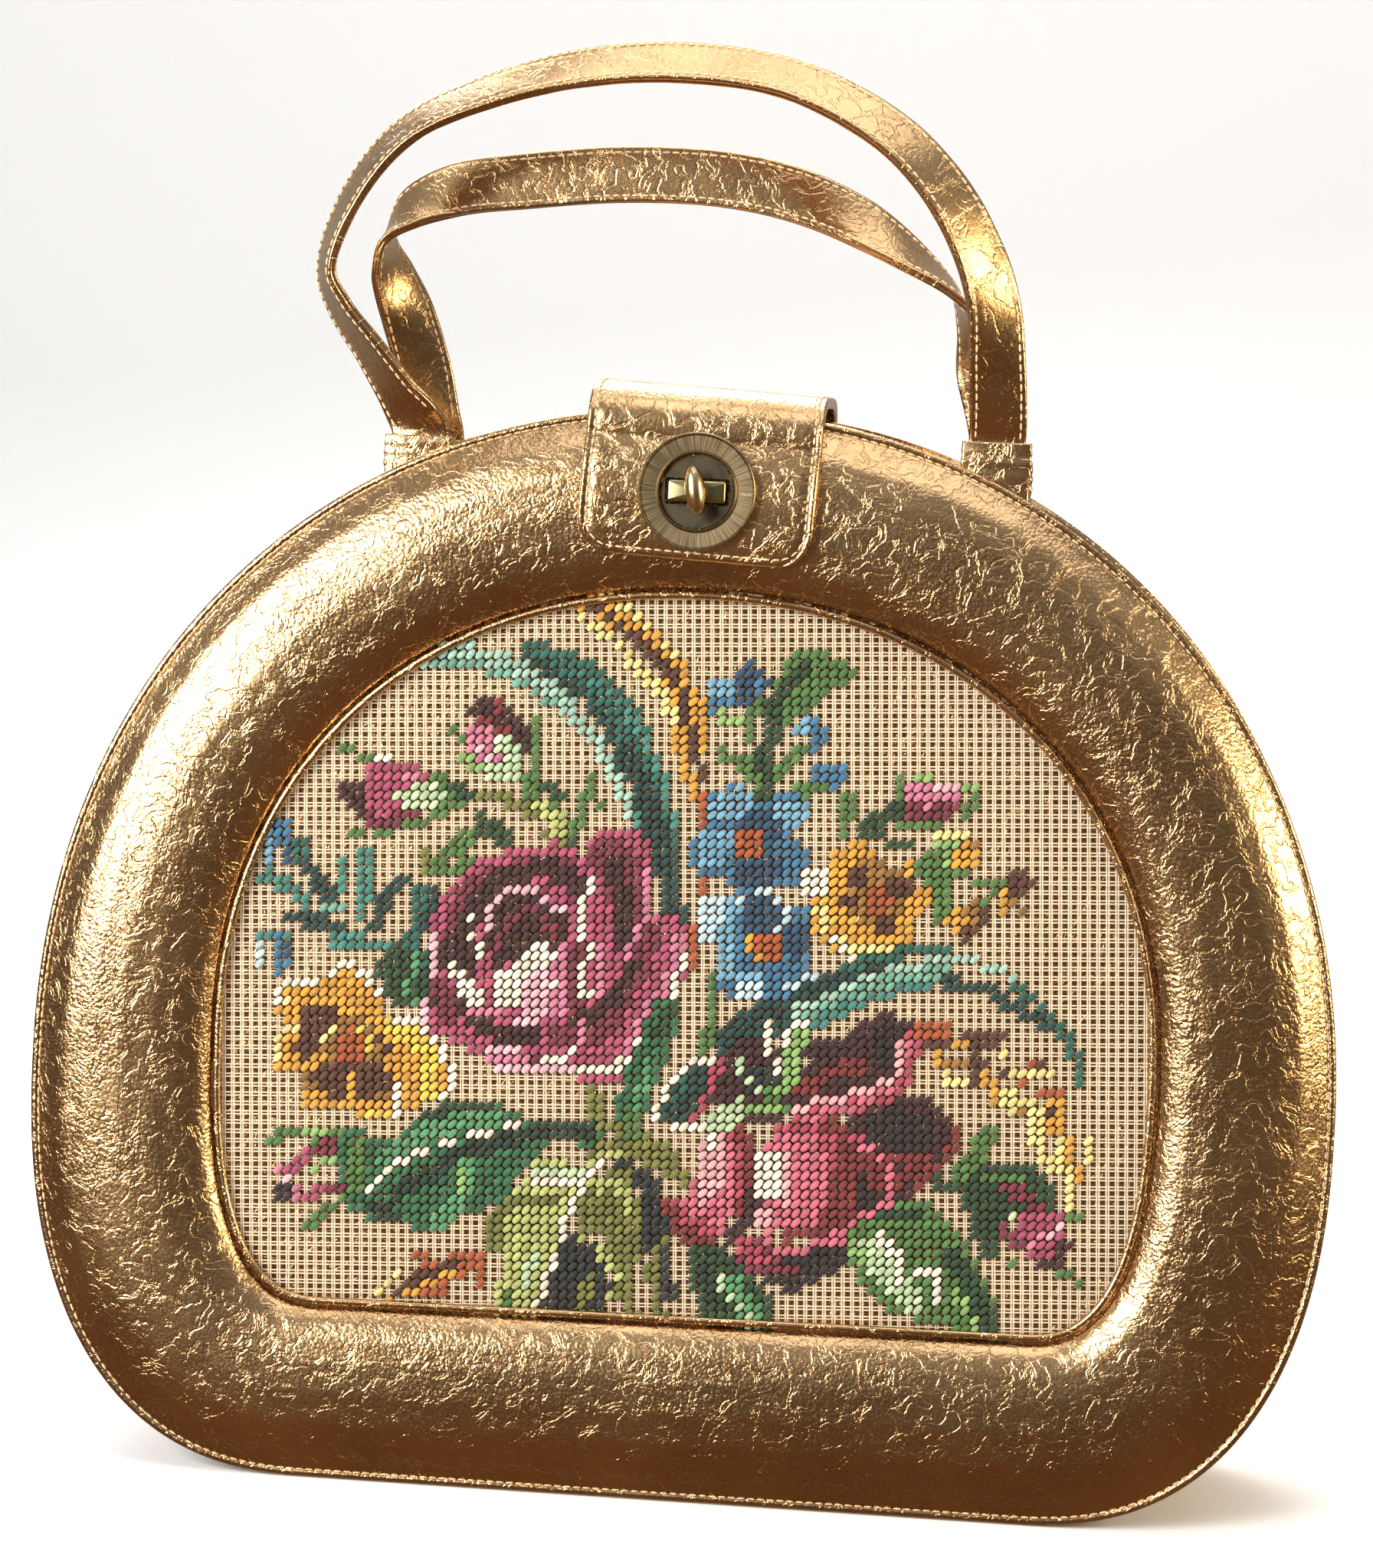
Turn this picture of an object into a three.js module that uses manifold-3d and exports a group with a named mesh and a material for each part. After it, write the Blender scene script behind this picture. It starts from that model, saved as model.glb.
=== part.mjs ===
// A gold leather handbag with a needlepoint window in its front panel.
// Millimetres, +Z up, front facing -Y. The origin is under the middle of the base.
import * as THREE from "three";
import { mergeVertices } from "three/addons/utils/BufferGeometryUtils.js";
import Module from "manifold-3d";

const wasm = await Module();
wasm.setup();

// Driving dimensions of the two D-shaped panels
const panelHalfWidth = 178.2;
const panelHeight = 297.1;
const panelWidestAt = 112.6;
const panelTopPower = 2.106;
const panelLowPower = 2.398;
const panelBaseHalf = 97.5;
const panelLeanDeg = 4.8;
const footHalfDepth = 42;
const padRise = 10;
const gap = 0.3;

// The window in the front pad, with the needlepoint canvas in it
const windowHalfWidth = 128.8;
const windowHeight = 199.3;
const windowWidestAt = 74.3;
const windowTopPower = 2.141;
const windowLowPower = 2.617;
const windowBaseHalf = 95.3;
const windowShift = 2.3;
const windowAboveBase = 48.4;
const windowTurnDeg = 0.6;
const canvasThickness = 2;
const boardThickness = 1.7;
const rimWidth = 2.2;
const rimHeight = 2.2;

// The gusset strip between the panels
const gussetThickness = 1.8;
const flangeWidth = 4.6;
const gussetShoulder = 8;
const gussetFold = 13;
const foldStart = 90;
const baseCornerHeight = 26;
const mouthHalfWidth = 93;

// The closing tab
const tabWidth = 64;
const tabThickness = 3.2;
const tabCornerRadius = 10;
const tabClear = 2.7;
const tabSeat = 0.8;
const tabTurnDeg = 2.6;
const tabEndAcross = 0.84;
const tabBackEndAcross = 0.62;

// The turn lock, placed by a share of the border above the window
const lockAcross = 0.4737;
const lockDiameter = 32;
const lockThickness = 2;
const lockRimRise = 0.7;
const lockBead = 0.9;
const lockEdgeRound = 0.5;
const lockWellDiameter = 20.2;
const lockSlotWidth = 18;
const lockSlotHeight = 7.2;
const lockSlotCorner = 1;
const barWidth = 15.8;
const barHeight = 6;
const barBevel = 0.8;
const knobWidth = 5.6;
const knobLength = 13.4;
const knobHeight = 6;
const knobPinDiameter = 2.6;
const knobPinDepth = 4;
const pinClearance = 0.3;

// The two handles and the leather collars that hold their ends
const strapWidth = 15.5;
const strapThickness = 2.6;
const strapHalfSpacing = 79;
const strapFoot = 262;
const strapGrip = 6;
const strapLead = 1;
const collarWall = 1.1;
const collarClearance = 0.35;
const collarCorner = 0.7;
const collarSwell = 0.5;
const collarFoot = 259;
const frontLeftCollarTop = 287;
const frontRightCollarTop = 291.5;
const backCollarTop = 286;
const frontHandleRise = 103;
const frontHandleReach = 7;
const backHandleRise = 75;
const backHandleReach = 7;

const lean = THREE.MathUtils.degToRad(panelLeanDeg);
const { smoothstep, lerp, degToRad } = THREE.MathUtils;

const panelShape = {
  halfWidth: panelHalfWidth,
  height: panelHeight,
  widestAt: panelWidestAt,
  topPower: panelTopPower,
  lowPower: panelLowPower,
  baseHalf: panelBaseHalf,
};
const windowShape = {
  halfWidth: windowHalfWidth,
  height: windowHeight,
  widestAt: windowWidestAt,
  topPower: windowTopPower,
  lowPower: windowLowPower,
  baseHalf: windowBaseHalf,
};

// Steps along the lower corner and along the crown of an outline
const cornerSteps = 12;
const crownSteps = 16;

// The right half of a D outline, from the base corner up to the angle topEnd of its crown.
function halfOutline(shape, topEnd = Math.PI / 2) {
  const line = [];
  const cornerReach = shape.halfWidth - shape.baseHalf;
  for (let i = 0; i <= cornerSteps; i++) {
    const t = ((i / cornerSteps) * Math.PI) / 2;
    const x = shape.baseHalf + cornerReach * Math.sin(t) ** (2 / shape.lowPower);
    const drop = Math.max(0, Math.cos(t)) ** (2 / shape.lowPower);
    line.push(new THREE.Vector2(x, shape.widestAt * (1 - drop)));
  }
  const crownHeight = shape.height - shape.widestAt;
  for (let i = 1; i <= crownSteps; i++) {
    const t = (i / crownSteps) * topEnd;
    const x = shape.halfWidth * Math.max(0, Math.cos(t)) ** (2 / shape.topPower);
    line.push(new THREE.Vector2(x, shape.widestAt + crownHeight * Math.sin(t) ** (2 / shape.topPower)));
  }
  return line;
}

const mirrored = (line) => line.map((p) => new THREE.Vector2(-p.x, p.y)).reverse();

// A whole D outline, closed, from the middle of the base round by the right side.
function outlineLoop(shape) {
  const right = halfOutline(shape);
  const left = mirrored(right).slice(1);
  const middle = new THREE.Vector2(0, 0);
  const beside = new THREE.Vector2(shape.baseHalf / 2, 0);
  return [middle, beside, ...right, ...left, new THREE.Vector2(-beside.x, 0)];
}

// Unit normals to the left of a line, which is inwards on an outline.
function leftNormals(line, closed) {
  const last = line.length - 1;
  return line.map((point, i) => {
    const before = line[i > 0 ? i - 1 : closed ? last : 0];
    const after = line[i < last ? i + 1 : closed ? 0 : last];
    const along = after.clone().sub(before).normalize();
    return new THREE.Vector2(-along.y, along.x);
  });
}

function insetLoop(loop, distance) {
  const normals = leftNormals(loop, true);
  return loop.map((point, i) => point.clone().addScaledVector(normals[i], distance));
}

// A line moved sideways by the same distance everywhere, with mitred corners.
function offsetLine(line, distance) {
  return line.map((point, i) => {
    const before = i > 0 ? point.clone().sub(line[i - 1]).normalize() : null;
    const after = i < line.length - 1 ? line[i + 1].clone().sub(point).normalize() : null;
    const first = before ?? after;
    const second = after ?? before;
    const side = new THREE.Vector2(-first.y - second.y, first.x + second.x).normalize();
    const spread = -side.x * first.y + side.y * first.x;
    return point.clone().addScaledVector(side, distance / spread);
  });
}

// A closed surface through loops of equal length. Its ends are joined to each other,
// closed by a fan, or closed across a thin strip that runs out and back.
function loopSolid(loops, ends) {
  const count = loops[0].length;
  const points = loops.flat();
  const faces = [];
  const rows = ends === "joined" ? loops.length : loops.length - 1;
  for (let row = 0; row < rows; row++) {
    const here = row * count;
    const next = ((row + 1) % loops.length) * count;
    for (let i = 0; i < count; i++) {
      const j = (i + 1) % count;
      faces.push([here + i, here + j, next + j], [here + i, next + j, next + i]);
    }
  }
  const lastRow = (loops.length - 1) * count;
  if (ends === "fan") {
    for (const [start, turned] of [[0, true], [lastRow, false]]) {
      const centre = new THREE.Vector3();
      for (let i = 0; i < count; i++) centre.addScaledVector(points[start + i], 1 / count);
      const middle = points.push(centre) - 1;
      for (let i = 0; i < count; i++) {
        const edge = [start + i, start + ((i + 1) % count)];
        faces.push(turned ? [middle, edge[1], edge[0]] : [middle, edge[0], edge[1]]);
      }
    }
  }
  if (ends === "strip") {
    for (let i = 0; i < count / 2 - 1; i++) {
      const back = count - 1 - i;
      faces.push([i + 1, i, back], [i + 1, back, back - 1]);
      faces.push([lastRow + i, lastRow + i + 1, lastRow + back - 1]);
      faces.push([lastRow + i, lastRow + back - 1, lastRow + back]);
    }
  }
  return closedGeometry(points, faces);
}

// A geometry whose faces point outwards.
function closedGeometry(points, faces) {
  let volume = 0;
  for (const [a, b, c] of faces) volume += points[a].dot(points[b].clone().cross(points[c]));
  const outward = volume < 0 ? faces.map(([a, b, c]) => [a, c, b]) : faces;
  const geometry = new THREE.BufferGeometry().setFromPoints(points);
  geometry.setIndex(outward.flat());
  geometry.computeVertexNormals();
  return geometry;
}

// Joining and cutting of closed solids
function toSolid(geometry) {
  const bare = geometry.clone();
  bare.deleteAttribute("normal");
  bare.deleteAttribute("uv");
  const merged = mergeVertices(bare, 1e-4);
  const vertProperties = new Float32Array(merged.attributes.position.array);
  const triVerts = new Uint32Array(merged.index.array);
  return new wasm.Manifold(new wasm.Mesh({ numProp: 3, vertProperties, triVerts }));
}

function fromSolid(solid) {
  const mesh = solid.getMesh();
  const geometry = new THREE.BufferGeometry();
  geometry.setAttribute("position", new THREE.BufferAttribute(new Float32Array(mesh.vertProperties), 3));
  geometry.setIndex(new THREE.BufferAttribute(new Uint32Array(mesh.triVerts), 1));
  geometry.computeVertexNormals();
  return geometry;
}

const leather = { color: 0xa9743a, roughness: 0.28, metalness: 0.85 };
const brass = { color: 0x6d5c3c, roughness: 0.35, metalness: 0.9 };

function namedMesh(name, geometry, finish) {
  const mesh = new THREE.Mesh(geometry, new THREE.MeshStandardMaterial(finish));
  mesh.name = name;
  return mesh;
}

// A panel's own frame: x across, y inwards from the seam, z up the leaning panel.
const onPanel = (point, out) => new THREE.Vector3(point.x, -out, point.y);

// The same point in the bag's frame, with side -1 in front and 1 behind.
function onBag(x, up, out, side) {
  const depth = footHalfDepth - up * Math.sin(lean) + out * Math.cos(lean);
  return new THREE.Vector3(x, side * depth, up * Math.cos(lean) + out * Math.sin(lean));
}

const panelLoop = outlineLoop(panelShape);
const windowTurn = degToRad(windowTurnDeg);
const windowLoop = outlineLoop(windowShape).map((point) =>
  point.rotateAround(new THREE.Vector2(), windowTurn).add(new THREE.Vector2(windowShift, windowAboveBase)),
);

// Height of the padded border, by shares of its width from the outer edge and of its rise.
const borderRows = [
  { across: 0, rise: 0.22 },
  { across: 0.065, rise: 0.22 },
  { across: 0.085, rise: 0.2 },
  { across: 0.12, rise: 0.42 },
  { across: 0.2, rise: 0.7 },
  { across: 0.34, rise: 0.92 },
  { across: 0.52, rise: 1 },
  { across: 0.7, rise: 0.97 },
  { across: 0.84, rise: 0.86 },
  { across: 0.93, rise: 0.68 },
  { across: 0.985, rise: 0.48 },
  { across: 1, rise: 0.34 },
];

function borderRise(across) {
  const next = borderRows.findIndex((row) => row.across >= across);
  if (next < 1) return borderRows[0].rise * padRise;
  const low = borderRows[next - 1];
  const high = borderRows[next];
  const share = (across - low.across) / (high.across - low.across);
  return lerp(low.rise, high.rise, share) * padRise;
}

// A loop part of the way from the panel's edge to the window's edge.
function borderLoop(across, out) {
  return panelLoop.map((point, i) => onPanel(point.clone().lerp(windowLoop[i], across), out));
}

function slab(loop, low, high) {
  return loopSolid([low, high].map((out) => loop.map((point) => onPanel(point, out))), "fan");
}

// Front pad: a stuffed leather border round the window
function frontPad() {
  const rows = borderRows.map((row) => borderLoop(row.across, row.rise * padRise));
  return loopSolid([borderLoop(0, gap), ...rows, borderLoop(1, gap)], "joined");
}

// Back pad: the same border, closed by a plain padded middle
function backPad() {
  const crown = borderRows.filter((row) => row.across <= 0.52);
  const rows = crown.map((row) => borderLoop(row.across, row.rise * padRise));
  const centre = new THREE.Vector2(windowShift, windowAboveBase + windowHeight / 2);
  const inner = [0.35, 0.75].map((share) =>
    windowLoop.map((point) => onPanel(point.clone().lerp(centre, share), padRise)),
  );
  return loopSolid([borderLoop(0, gap), ...rows, ...inner], "fan");
}

const canvasFront = gap + canvasThickness;

// Rolled rim: a thin leather bead between the pad and the canvas
function windowRim() {
  const sides = 8;
  const centreInset = gap + rimWidth / 2;
  const centreOut = canvasFront + gap + rimHeight / 2;
  const loops = Array.from({ length: sides }, (_, i) => {
    const angle = ((i + 0.5) / sides) * 2 * Math.PI;
    const inset = centreInset + (Math.cos(angle) * rimWidth) / 2;
    const out = centreOut + (Math.sin(angle) * rimHeight) / 2;
    return insetLoop(windowLoop, inset).map((point) => onPanel(point, out));
  });
  return loopSolid(loops, "joined");
}

// Gusset: one leather strip that turns out into a flange along both panels, folds in
// towards the mouth and sags to the ground along the base
function gusset() {
  const mouthShare = Math.min(1, mouthHalfWidth / panelHalfWidth);
  const topEnd = Math.acos(mouthShare ** (panelTopPower / 2));
  const right = halfOutline(panelShape, topEnd);
  const line = [...mirrored(right), new THREE.Vector2(0, 0), ...right];
  const normals = leftNormals(line, false);
  const endHeight = right[right.length - 1].y;
  const half = gussetThickness / 2;
  const sections = line.map((point, i) => {
    const width = 2 * (footHalfDepth - point.y * Math.sin(lean));
    const sag = 1 - smoothstep(point.y, 0, baseCornerHeight);
    const fold = gussetFold * smoothstep(point.y, foldStart, endHeight);
    const wall = lerp(flangeWidth, half, sag);
    const front = [
      new THREE.Vector2(gap, half),
      new THREE.Vector2(flangeWidth, half),
      new THREE.Vector2(wall + fold * 0.15, gussetShoulder),
    ];
    const back = front.map((p) => new THREE.Vector2(p.x, width - p.y)).reverse();
    const middle = new THREE.Vector2(wall + fold, width / 2);
    const strip = [...front, middle, ...back];
    const around = [...offsetLine(strip, half), ...offsetLine(strip, -half).reverse()];
    return around.map(({ x: inset, y: depth }) => {
      const at = point.clone().addScaledVector(normals[i], inset);
      return onBag(at.x, at.y, 0, -1).lerp(onBag(at.x, at.y, 0, 1), depth / width);
    });
  });
  return loopSolid(sections, "strip");
}

// Tab: stitched to the back pad, over the mouth and down to the lock
const lockOut = padRise + tabSeat + tabThickness + gap;
const borderTop = panelHeight - windowAboveBase - windowHeight;
const lockHeight = panelHeight - lockAcross * borderTop;
const lockPoint = onBag(0, lockHeight, lockOut, -1);

function slotShape(width, height, corner) {
  const shape = new THREE.Shape();
  const x = width / 2;
  const y = height / 2;
  shape.moveTo(corner - x, -y).lineTo(x - corner, -y).absarc(x - corner, corner - y, corner, -Math.PI / 2, 0);
  shape.lineTo(x, y - corner).absarc(x - corner, y - corner, corner, 0, Math.PI / 2);
  shape.lineTo(corner - x, y).absarc(corner - x, y - corner, corner, Math.PI / 2, Math.PI);
  shape.lineTo(-x, corner - y).absarc(corner - x, corner - y, corner, Math.PI, 1.5 * Math.PI);
  return shape;
}

// The line under the tab, in the bag's side view, from its free end to its sewn end.
function tabLine() {
  const onBorder = (across) => {
    const point = onBag(0, panelHeight - across * borderTop, borderRise(across) + tabSeat, 1);
    return new THREE.Vector2(point.y, point.z);
  };
  const last = 0.2;
  const steps = 4;
  const side = (end) => Array.from({ length: steps + 1 }, (_, i) => onBorder(lerp(end, last, i / steps)));
  const foot = onBorder(last);
  const top = panelHeight * Math.cos(lean) + tabClear;
  const flatHalf = 0.3 * foot.x;
  const squareness = 3;
  const bendSteps = 6;
  const bend = Array.from({ length: bendSteps }, (_, i) => {
    const t = (((i + 1) / bendSteps) * Math.PI) / 2;
    const y = flatHalf + (foot.x - flatHalf) * Math.max(0, Math.cos(t)) ** (2 / squareness);
    return new THREE.Vector2(y, foot.y + (top - foot.y) * Math.sin(t) ** (2 / squareness));
  });
  const front = [...side(tabEndAcross), ...bend].map((point) => new THREE.Vector2(-point.x, point.y));
  return [...front, ...[...side(tabBackEndAcross), ...bend].reverse()];
}

// Points of a line at given distances from its start.
function pointsAlong(line, distances) {
  const path = new THREE.CurvePath();
  for (let i = 1; i < line.length; i++) path.add(new THREE.LineCurve(line[i - 1], line[i]));
  return distances.map((distance) => path.getPoint(Math.min(1, distance / path.getLength())));
}

function lineLength(line) {
  return line.slice(1).reduce((sum, point, i) => sum + point.distanceTo(line[i]), 0);
}

function tab() {
  const under = tabLine();
  const length = lineLength(under);
  const cornerShares = [0, 0.1, 0.3, 0.6, 1];
  const corner = cornerShares.map((share) => share * tabCornerRadius);
  const straightSteps = 24;
  const straight = Array.from({ length: straightSteps - 1 }, (_, i) =>
    lerp(tabCornerRadius, length - tabCornerRadius, (i + 1) / straightSteps),
  );
  const stations = [...corner, ...straight, ...corner.map((distance) => length - distance).reverse()];
  const inner = pointsAlong(under, stations);
  const outer = offsetLine(inner, tabThickness);
  const loops = stations.map((distance, i) => {
    const fromEnd = Math.min(distance, length - distance, tabCornerRadius);
    const rounding = tabCornerRadius - Math.sqrt(tabCornerRadius ** 2 - (tabCornerRadius - fromEnd) ** 2);
    const half = tabWidth / 2 - rounding;
    const edge = inner[i].clone().lerp(outer[i], 0.5);
    const at = (x, point) => new THREE.Vector3(x, point.x, point.y - lockPoint.z);
    const bevel = tabThickness * 0.3;
    const across = [-half + bevel, 0, half - bevel];
    return [
      ...across.map((x) => at(x, inner[i])),
      at(half, edge),
      ...across.toReversed().map((x) => at(x, outer[i])),
      at(-half, edge),
    ];
  });
  const cutter = new THREE.ExtrudeGeometry(slotShape(lockSlotWidth, lockSlotHeight, lockSlotCorner), {
    depth: 4 * tabThickness,
    bevelEnabled: false,
    curveSegments: 3,
  });
  cutter.translate(0, 0, -3 * tabThickness);
  cutter.rotateX(Math.PI / 2 - lean);
  cutter.translate(0, lockPoint.y, 0);
  return fromSolid(toSolid(loopSolid(loops, "fan")).subtract(toSolid(cutter)));
}

// Lock ring: a brass disc with a bead round its edge and round its well
function lockRing() {
  const outer = lockDiameter / 2;
  const inner = lockWellDiameter / 2;
  const top = lockThickness;
  const profile = [
    [inner, 0], [outer - lockEdgeRound, 0], [outer, lockEdgeRound], [outer, top],
    [outer - lockBead / 2, top + lockRimRise], [outer - lockBead, top], [inner + lockBead, top * 0.85],
    [inner + lockBead / 2, top + lockRimRise * 0.8], [inner, top], [inner, 0],
  ];
  const lathe = new THREE.LatheGeometry(profile.map(([r, h]) => new THREE.Vector2(r, h)), 40);
  return fromSolid(toSolid(lathe));
}

// Lock plate: the floor of the well, with a slot for the bar
function lockPlate() {
  const disc = new THREE.Shape().absarc(0, 0, lockWellDiameter / 2 - gap, 0, 2 * Math.PI);
  disc.holes.push(slotShape(lockSlotWidth - 2 * gap, lockSlotHeight, lockSlotCorner));
  const depth = lockThickness / 2;
  return new THREE.ExtrudeGeometry(disc, { depth, bevelEnabled: false, curveSegments: 20 });
}

const barFoot = padRise + gap;
const barTop = lockOut + lockThickness + lockRimRise + gap;

// Lock bar: the fixed post on the pad, through tab and plate, bored for the knob's pin
function lockBar() {
  const height = barTop - barFoot;
  const ring = (inset, up) => {
    const x = barWidth / 2 - inset;
    const y = barHeight / 2 - inset;
    const corners = [
      [-x, -y + barBevel], [-x + barBevel, -y], [x - barBevel, -y], [x, -y + barBevel],
      [x, y - barBevel], [x - barBevel, y], [-x + barBevel, y], [-x, y - barBevel],
    ];
    return corners.map(([dx, dy]) => new THREE.Vector3(dx, dy, up));
  };
  const body = loopSolid([ring(0, 0), ring(0, height - barBevel), ring(barBevel, height)], "fan");
  const boreDepth = knobPinDepth + pinClearance;
  const boreRadius = knobPinDiameter / 2 + pinClearance;
  const bore = new THREE.CylinderGeometry(boreRadius, boreRadius, 2 * boreDepth, 16);
  bore.rotateX(Math.PI / 2);
  bore.translate(0, 0, height);
  return fromSolid(toSolid(body).subtract(toSolid(bore)));
}

// Turn knob: an oval thumb piece on a short round pin
function turnKnob() {
  const oval = new THREE.SphereGeometry(0.5, 20, 12);
  oval.scale(knobWidth, knobLength, knobHeight);
  oval.translate(0, 0, knobHeight / 2 + gap);
  const pinRadius = knobPinDiameter / 2;
  const pin = new THREE.CylinderGeometry(pinRadius, pinRadius, knobPinDepth + knobHeight / 2, 12);
  pin.rotateX(Math.PI / 2);
  pin.translate(0, 0, knobHeight / 4 - knobPinDepth / 2);
  return fromSolid(toSolid(oval).add(toSolid(pin)));
}

// Handles: sewn straps, by shares of the spacing, rise and reach, with the turn of the
// strap about its own line. A turn of 0 shows the strap's outer face to the front.
const frontHandleRows = [
  { across: -1.02, up: 0.045, reach: 0.1, turn: 20 },
  { across: -1.08, up: 0.11, reach: 0.3, turn: 42 },
  { across: -1.185, up: 0.225, reach: 0.5, turn: 55 },
  { across: -1.285, up: 0.33, reach: 0.7, turn: 62 },
  { across: -1.335, up: 0.43, reach: 0.9, turn: 68 },
  { across: -1.24, up: 0.64, reach: 1, turn: 61 },
  { across: -1.06, up: 0.805, reach: 1, turn: 59 },
  { across: -0.77, up: 0.913, reach: 1, turn: 54 },
  { across: -0.45, up: 0.98, reach: 1, turn: 48 },
  { across: -0.11, up: 1, reach: 1, turn: 46 },
  { across: 0.25, up: 0.965, reach: 1, turn: 48 },
  { across: 0.58, up: 0.845, reach: 1, turn: 45 },
  { across: 0.77, up: 0.71, reach: 1, turn: 40 },
  { across: 0.9, up: 0.55, reach: 0.9, turn: 36 },
  { across: 0.965, up: 0.41, reach: 0.8, turn: 28 },
  { across: 0.99, up: 0.23, reach: 0.5, turn: 12 },
  { across: 1, up: 0.1, reach: 0.15, turn: 3 },
];
const backHandleRows = [
  { across: -1.015, up: 0.08, reach: 0.05, turn: 178 },
  { across: -1.05, up: 0.25, reach: 0.1, turn: 171 },
  { across: -1.11, up: 0.45, reach: 0.3, turn: 157 },
  { across: -1.17, up: 0.62, reach: 0.6, turn: 125 },
  { across: -1.185, up: 0.735, reach: 0.8, turn: 88 },
  { across: -1.11, up: 0.84, reach: 1, turn: 46 },
  { across: -0.95, up: 0.92, reach: 1, turn: 20 },
  { across: -0.68, up: 0.965, reach: 1, turn: 10 },
  { across: -0.34, up: 1, reach: 1, turn: 8 },
  { across: 0, up: 0.995, reach: 1, turn: 10 },
  { across: 0.26, up: 0.945, reach: 1, turn: 18 },
  { across: 0.48, up: 0.855, reach: 1, turn: 34 },
  { across: 0.67, up: 0.735, reach: 0.9, turn: 60 },
  { across: 0.82, up: 0.61, reach: 0.8, turn: 86 },
  { across: 0.89, up: 0.48, reach: 0.6, turn: 120 },
  { across: 0.93, up: 0.32, reach: 0.4, turn: 154 },
  { across: 0.98, up: 0.15, reach: 0.1, turn: 174 },
];

// How far the strap's middle lies inside the panel's seam
const strapInset = boardThickness + gap + collarWall + collarClearance + strapThickness / 2;

function handle(rows, side, rise, reach, leftCollarTop, rightCollarTop, footTurn) {
  const foot = (x, up) => onBag(x, up, -strapInset, side);
  const leftTop = foot(-strapHalfSpacing, leftCollarTop + strapLead);
  const rightTop = foot(strapHalfSpacing, rightCollarTop + strapLead);
  const spring = foot(0, Math.min(leftCollarTop, rightCollarTop));
  const above = rows.map((row) => {
    const y = spring.y - row.reach * reach;
    return new THREE.Vector3(row.across * strapHalfSpacing, y, spring.z + row.up * rise);
  });
  const points = [
    foot(-strapHalfSpacing, strapFoot), foot(-strapHalfSpacing, leftCollarTop - strapGrip), leftTop,
    ...above,
    rightTop, foot(strapHalfSpacing, rightCollarTop - strapGrip), foot(strapHalfSpacing, strapFoot),
  ];
  const footTurns = [footTurn, footTurn, footTurn];
  const turns = [...footTurns, ...rows.map((row) => row.turn), ...footTurns];
  const curve = new THREE.CatmullRomCurve3(points, false, "centripetal");
  const stepsPerRow = 3;
  const steps = (points.length - 1) * stepsPerRow;
  const bevel = strapThickness * 0.25;
  const half = strapWidth / 2;
  const thick = strapThickness / 2;
  const section = [
    [-half, -thick + bevel], [-half + bevel, -thick], [half - bevel, -thick], [half, -thick + bevel],
    [half, thick - bevel], [half - bevel, thick], [-half + bevel, thick], [-half, thick - bevel],
  ];
  const loops = Array.from({ length: steps + 1 }, (_, i) => {
    const share = i / steps;
    const row = Math.min(Math.floor(i / stepsPerRow), points.length - 2);
    const turn = degToRad(lerp(turns[row], turns[row + 1], smoothstep(i / stepsPerRow - row, 0, 1)));
    const along = curve.getTangent(share);
    const backwards = new THREE.Vector3(0, 1, 0).addScaledVector(along, -along.y).normalize();
    const outwards = along.clone().cross(backwards);
    const wide = outwards.multiplyScalar(Math.cos(turn)).addScaledVector(backwards, Math.sin(turn));
    const deep = along.clone().cross(wide);
    const middle = curve.getPoint(share);
    return section.map(([w, d]) => middle.clone().addScaledVector(wide, w).addScaledVector(deep, d));
  });
  return loopSolid(loops, "fan");
}

// Collar: a gathered leather sleeve round a strap's end, sewn inside the panel
const collarRows = [
  { up: 0, swell: 0 },
  { up: 0.72, swell: 0 },
  { up: 0.79, swell: 1 },
  { up: 0.85, swell: 0.2 },
  { up: 0.91, swell: 1 },
  { up: 0.96, swell: 0.2 },
  { up: 1, swell: 0.5 },
];

function collar(x, top) {
  const height = top - collarFoot;
  const innerHalf = strapWidth / 2 + collarClearance;
  const innerThick = strapThickness / 2 + collarClearance;
  const ring = (growX, growOut, up) => {
    const halfX = innerHalf + growX;
    const halfY = innerThick + growOut;
    const corners = [
      [-halfX, -halfY + collarCorner], [-halfX + collarCorner, -halfY],
      [halfX - collarCorner, -halfY], [halfX, -halfY + collarCorner],
      [halfX, halfY - collarCorner], [halfX - collarCorner, halfY],
      [-halfX + collarCorner, halfY], [-halfX, halfY - collarCorner],
    ];
    return corners.map(([dx, dy]) => new THREE.Vector3(x + dx, strapInset + dy, collarFoot + up * height));
  };
  const outside = collarRows.map((row) => {
    const swell = row.swell * collarSwell;
    return ring(collarWall + swell, collarWall, row.up);
  });
  return loopSolid([ring(0, 0, 0), ...outside, ring(0, 0, 1)], "joined");
}

// The front panel leans back from its foot, and the back panel leans forward.
const frontPanel = new THREE.Group();
frontPanel.position.y = -footHalfDepth;
frontPanel.rotation.x = -lean;

const backPanel = new THREE.Group();
backPanel.position.y = -footHalfDepth;
backPanel.rotation.x = -lean;
const turnedRound = new THREE.Group();
turnedRound.rotation.z = Math.PI;
turnedRound.add(backPanel);

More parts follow.
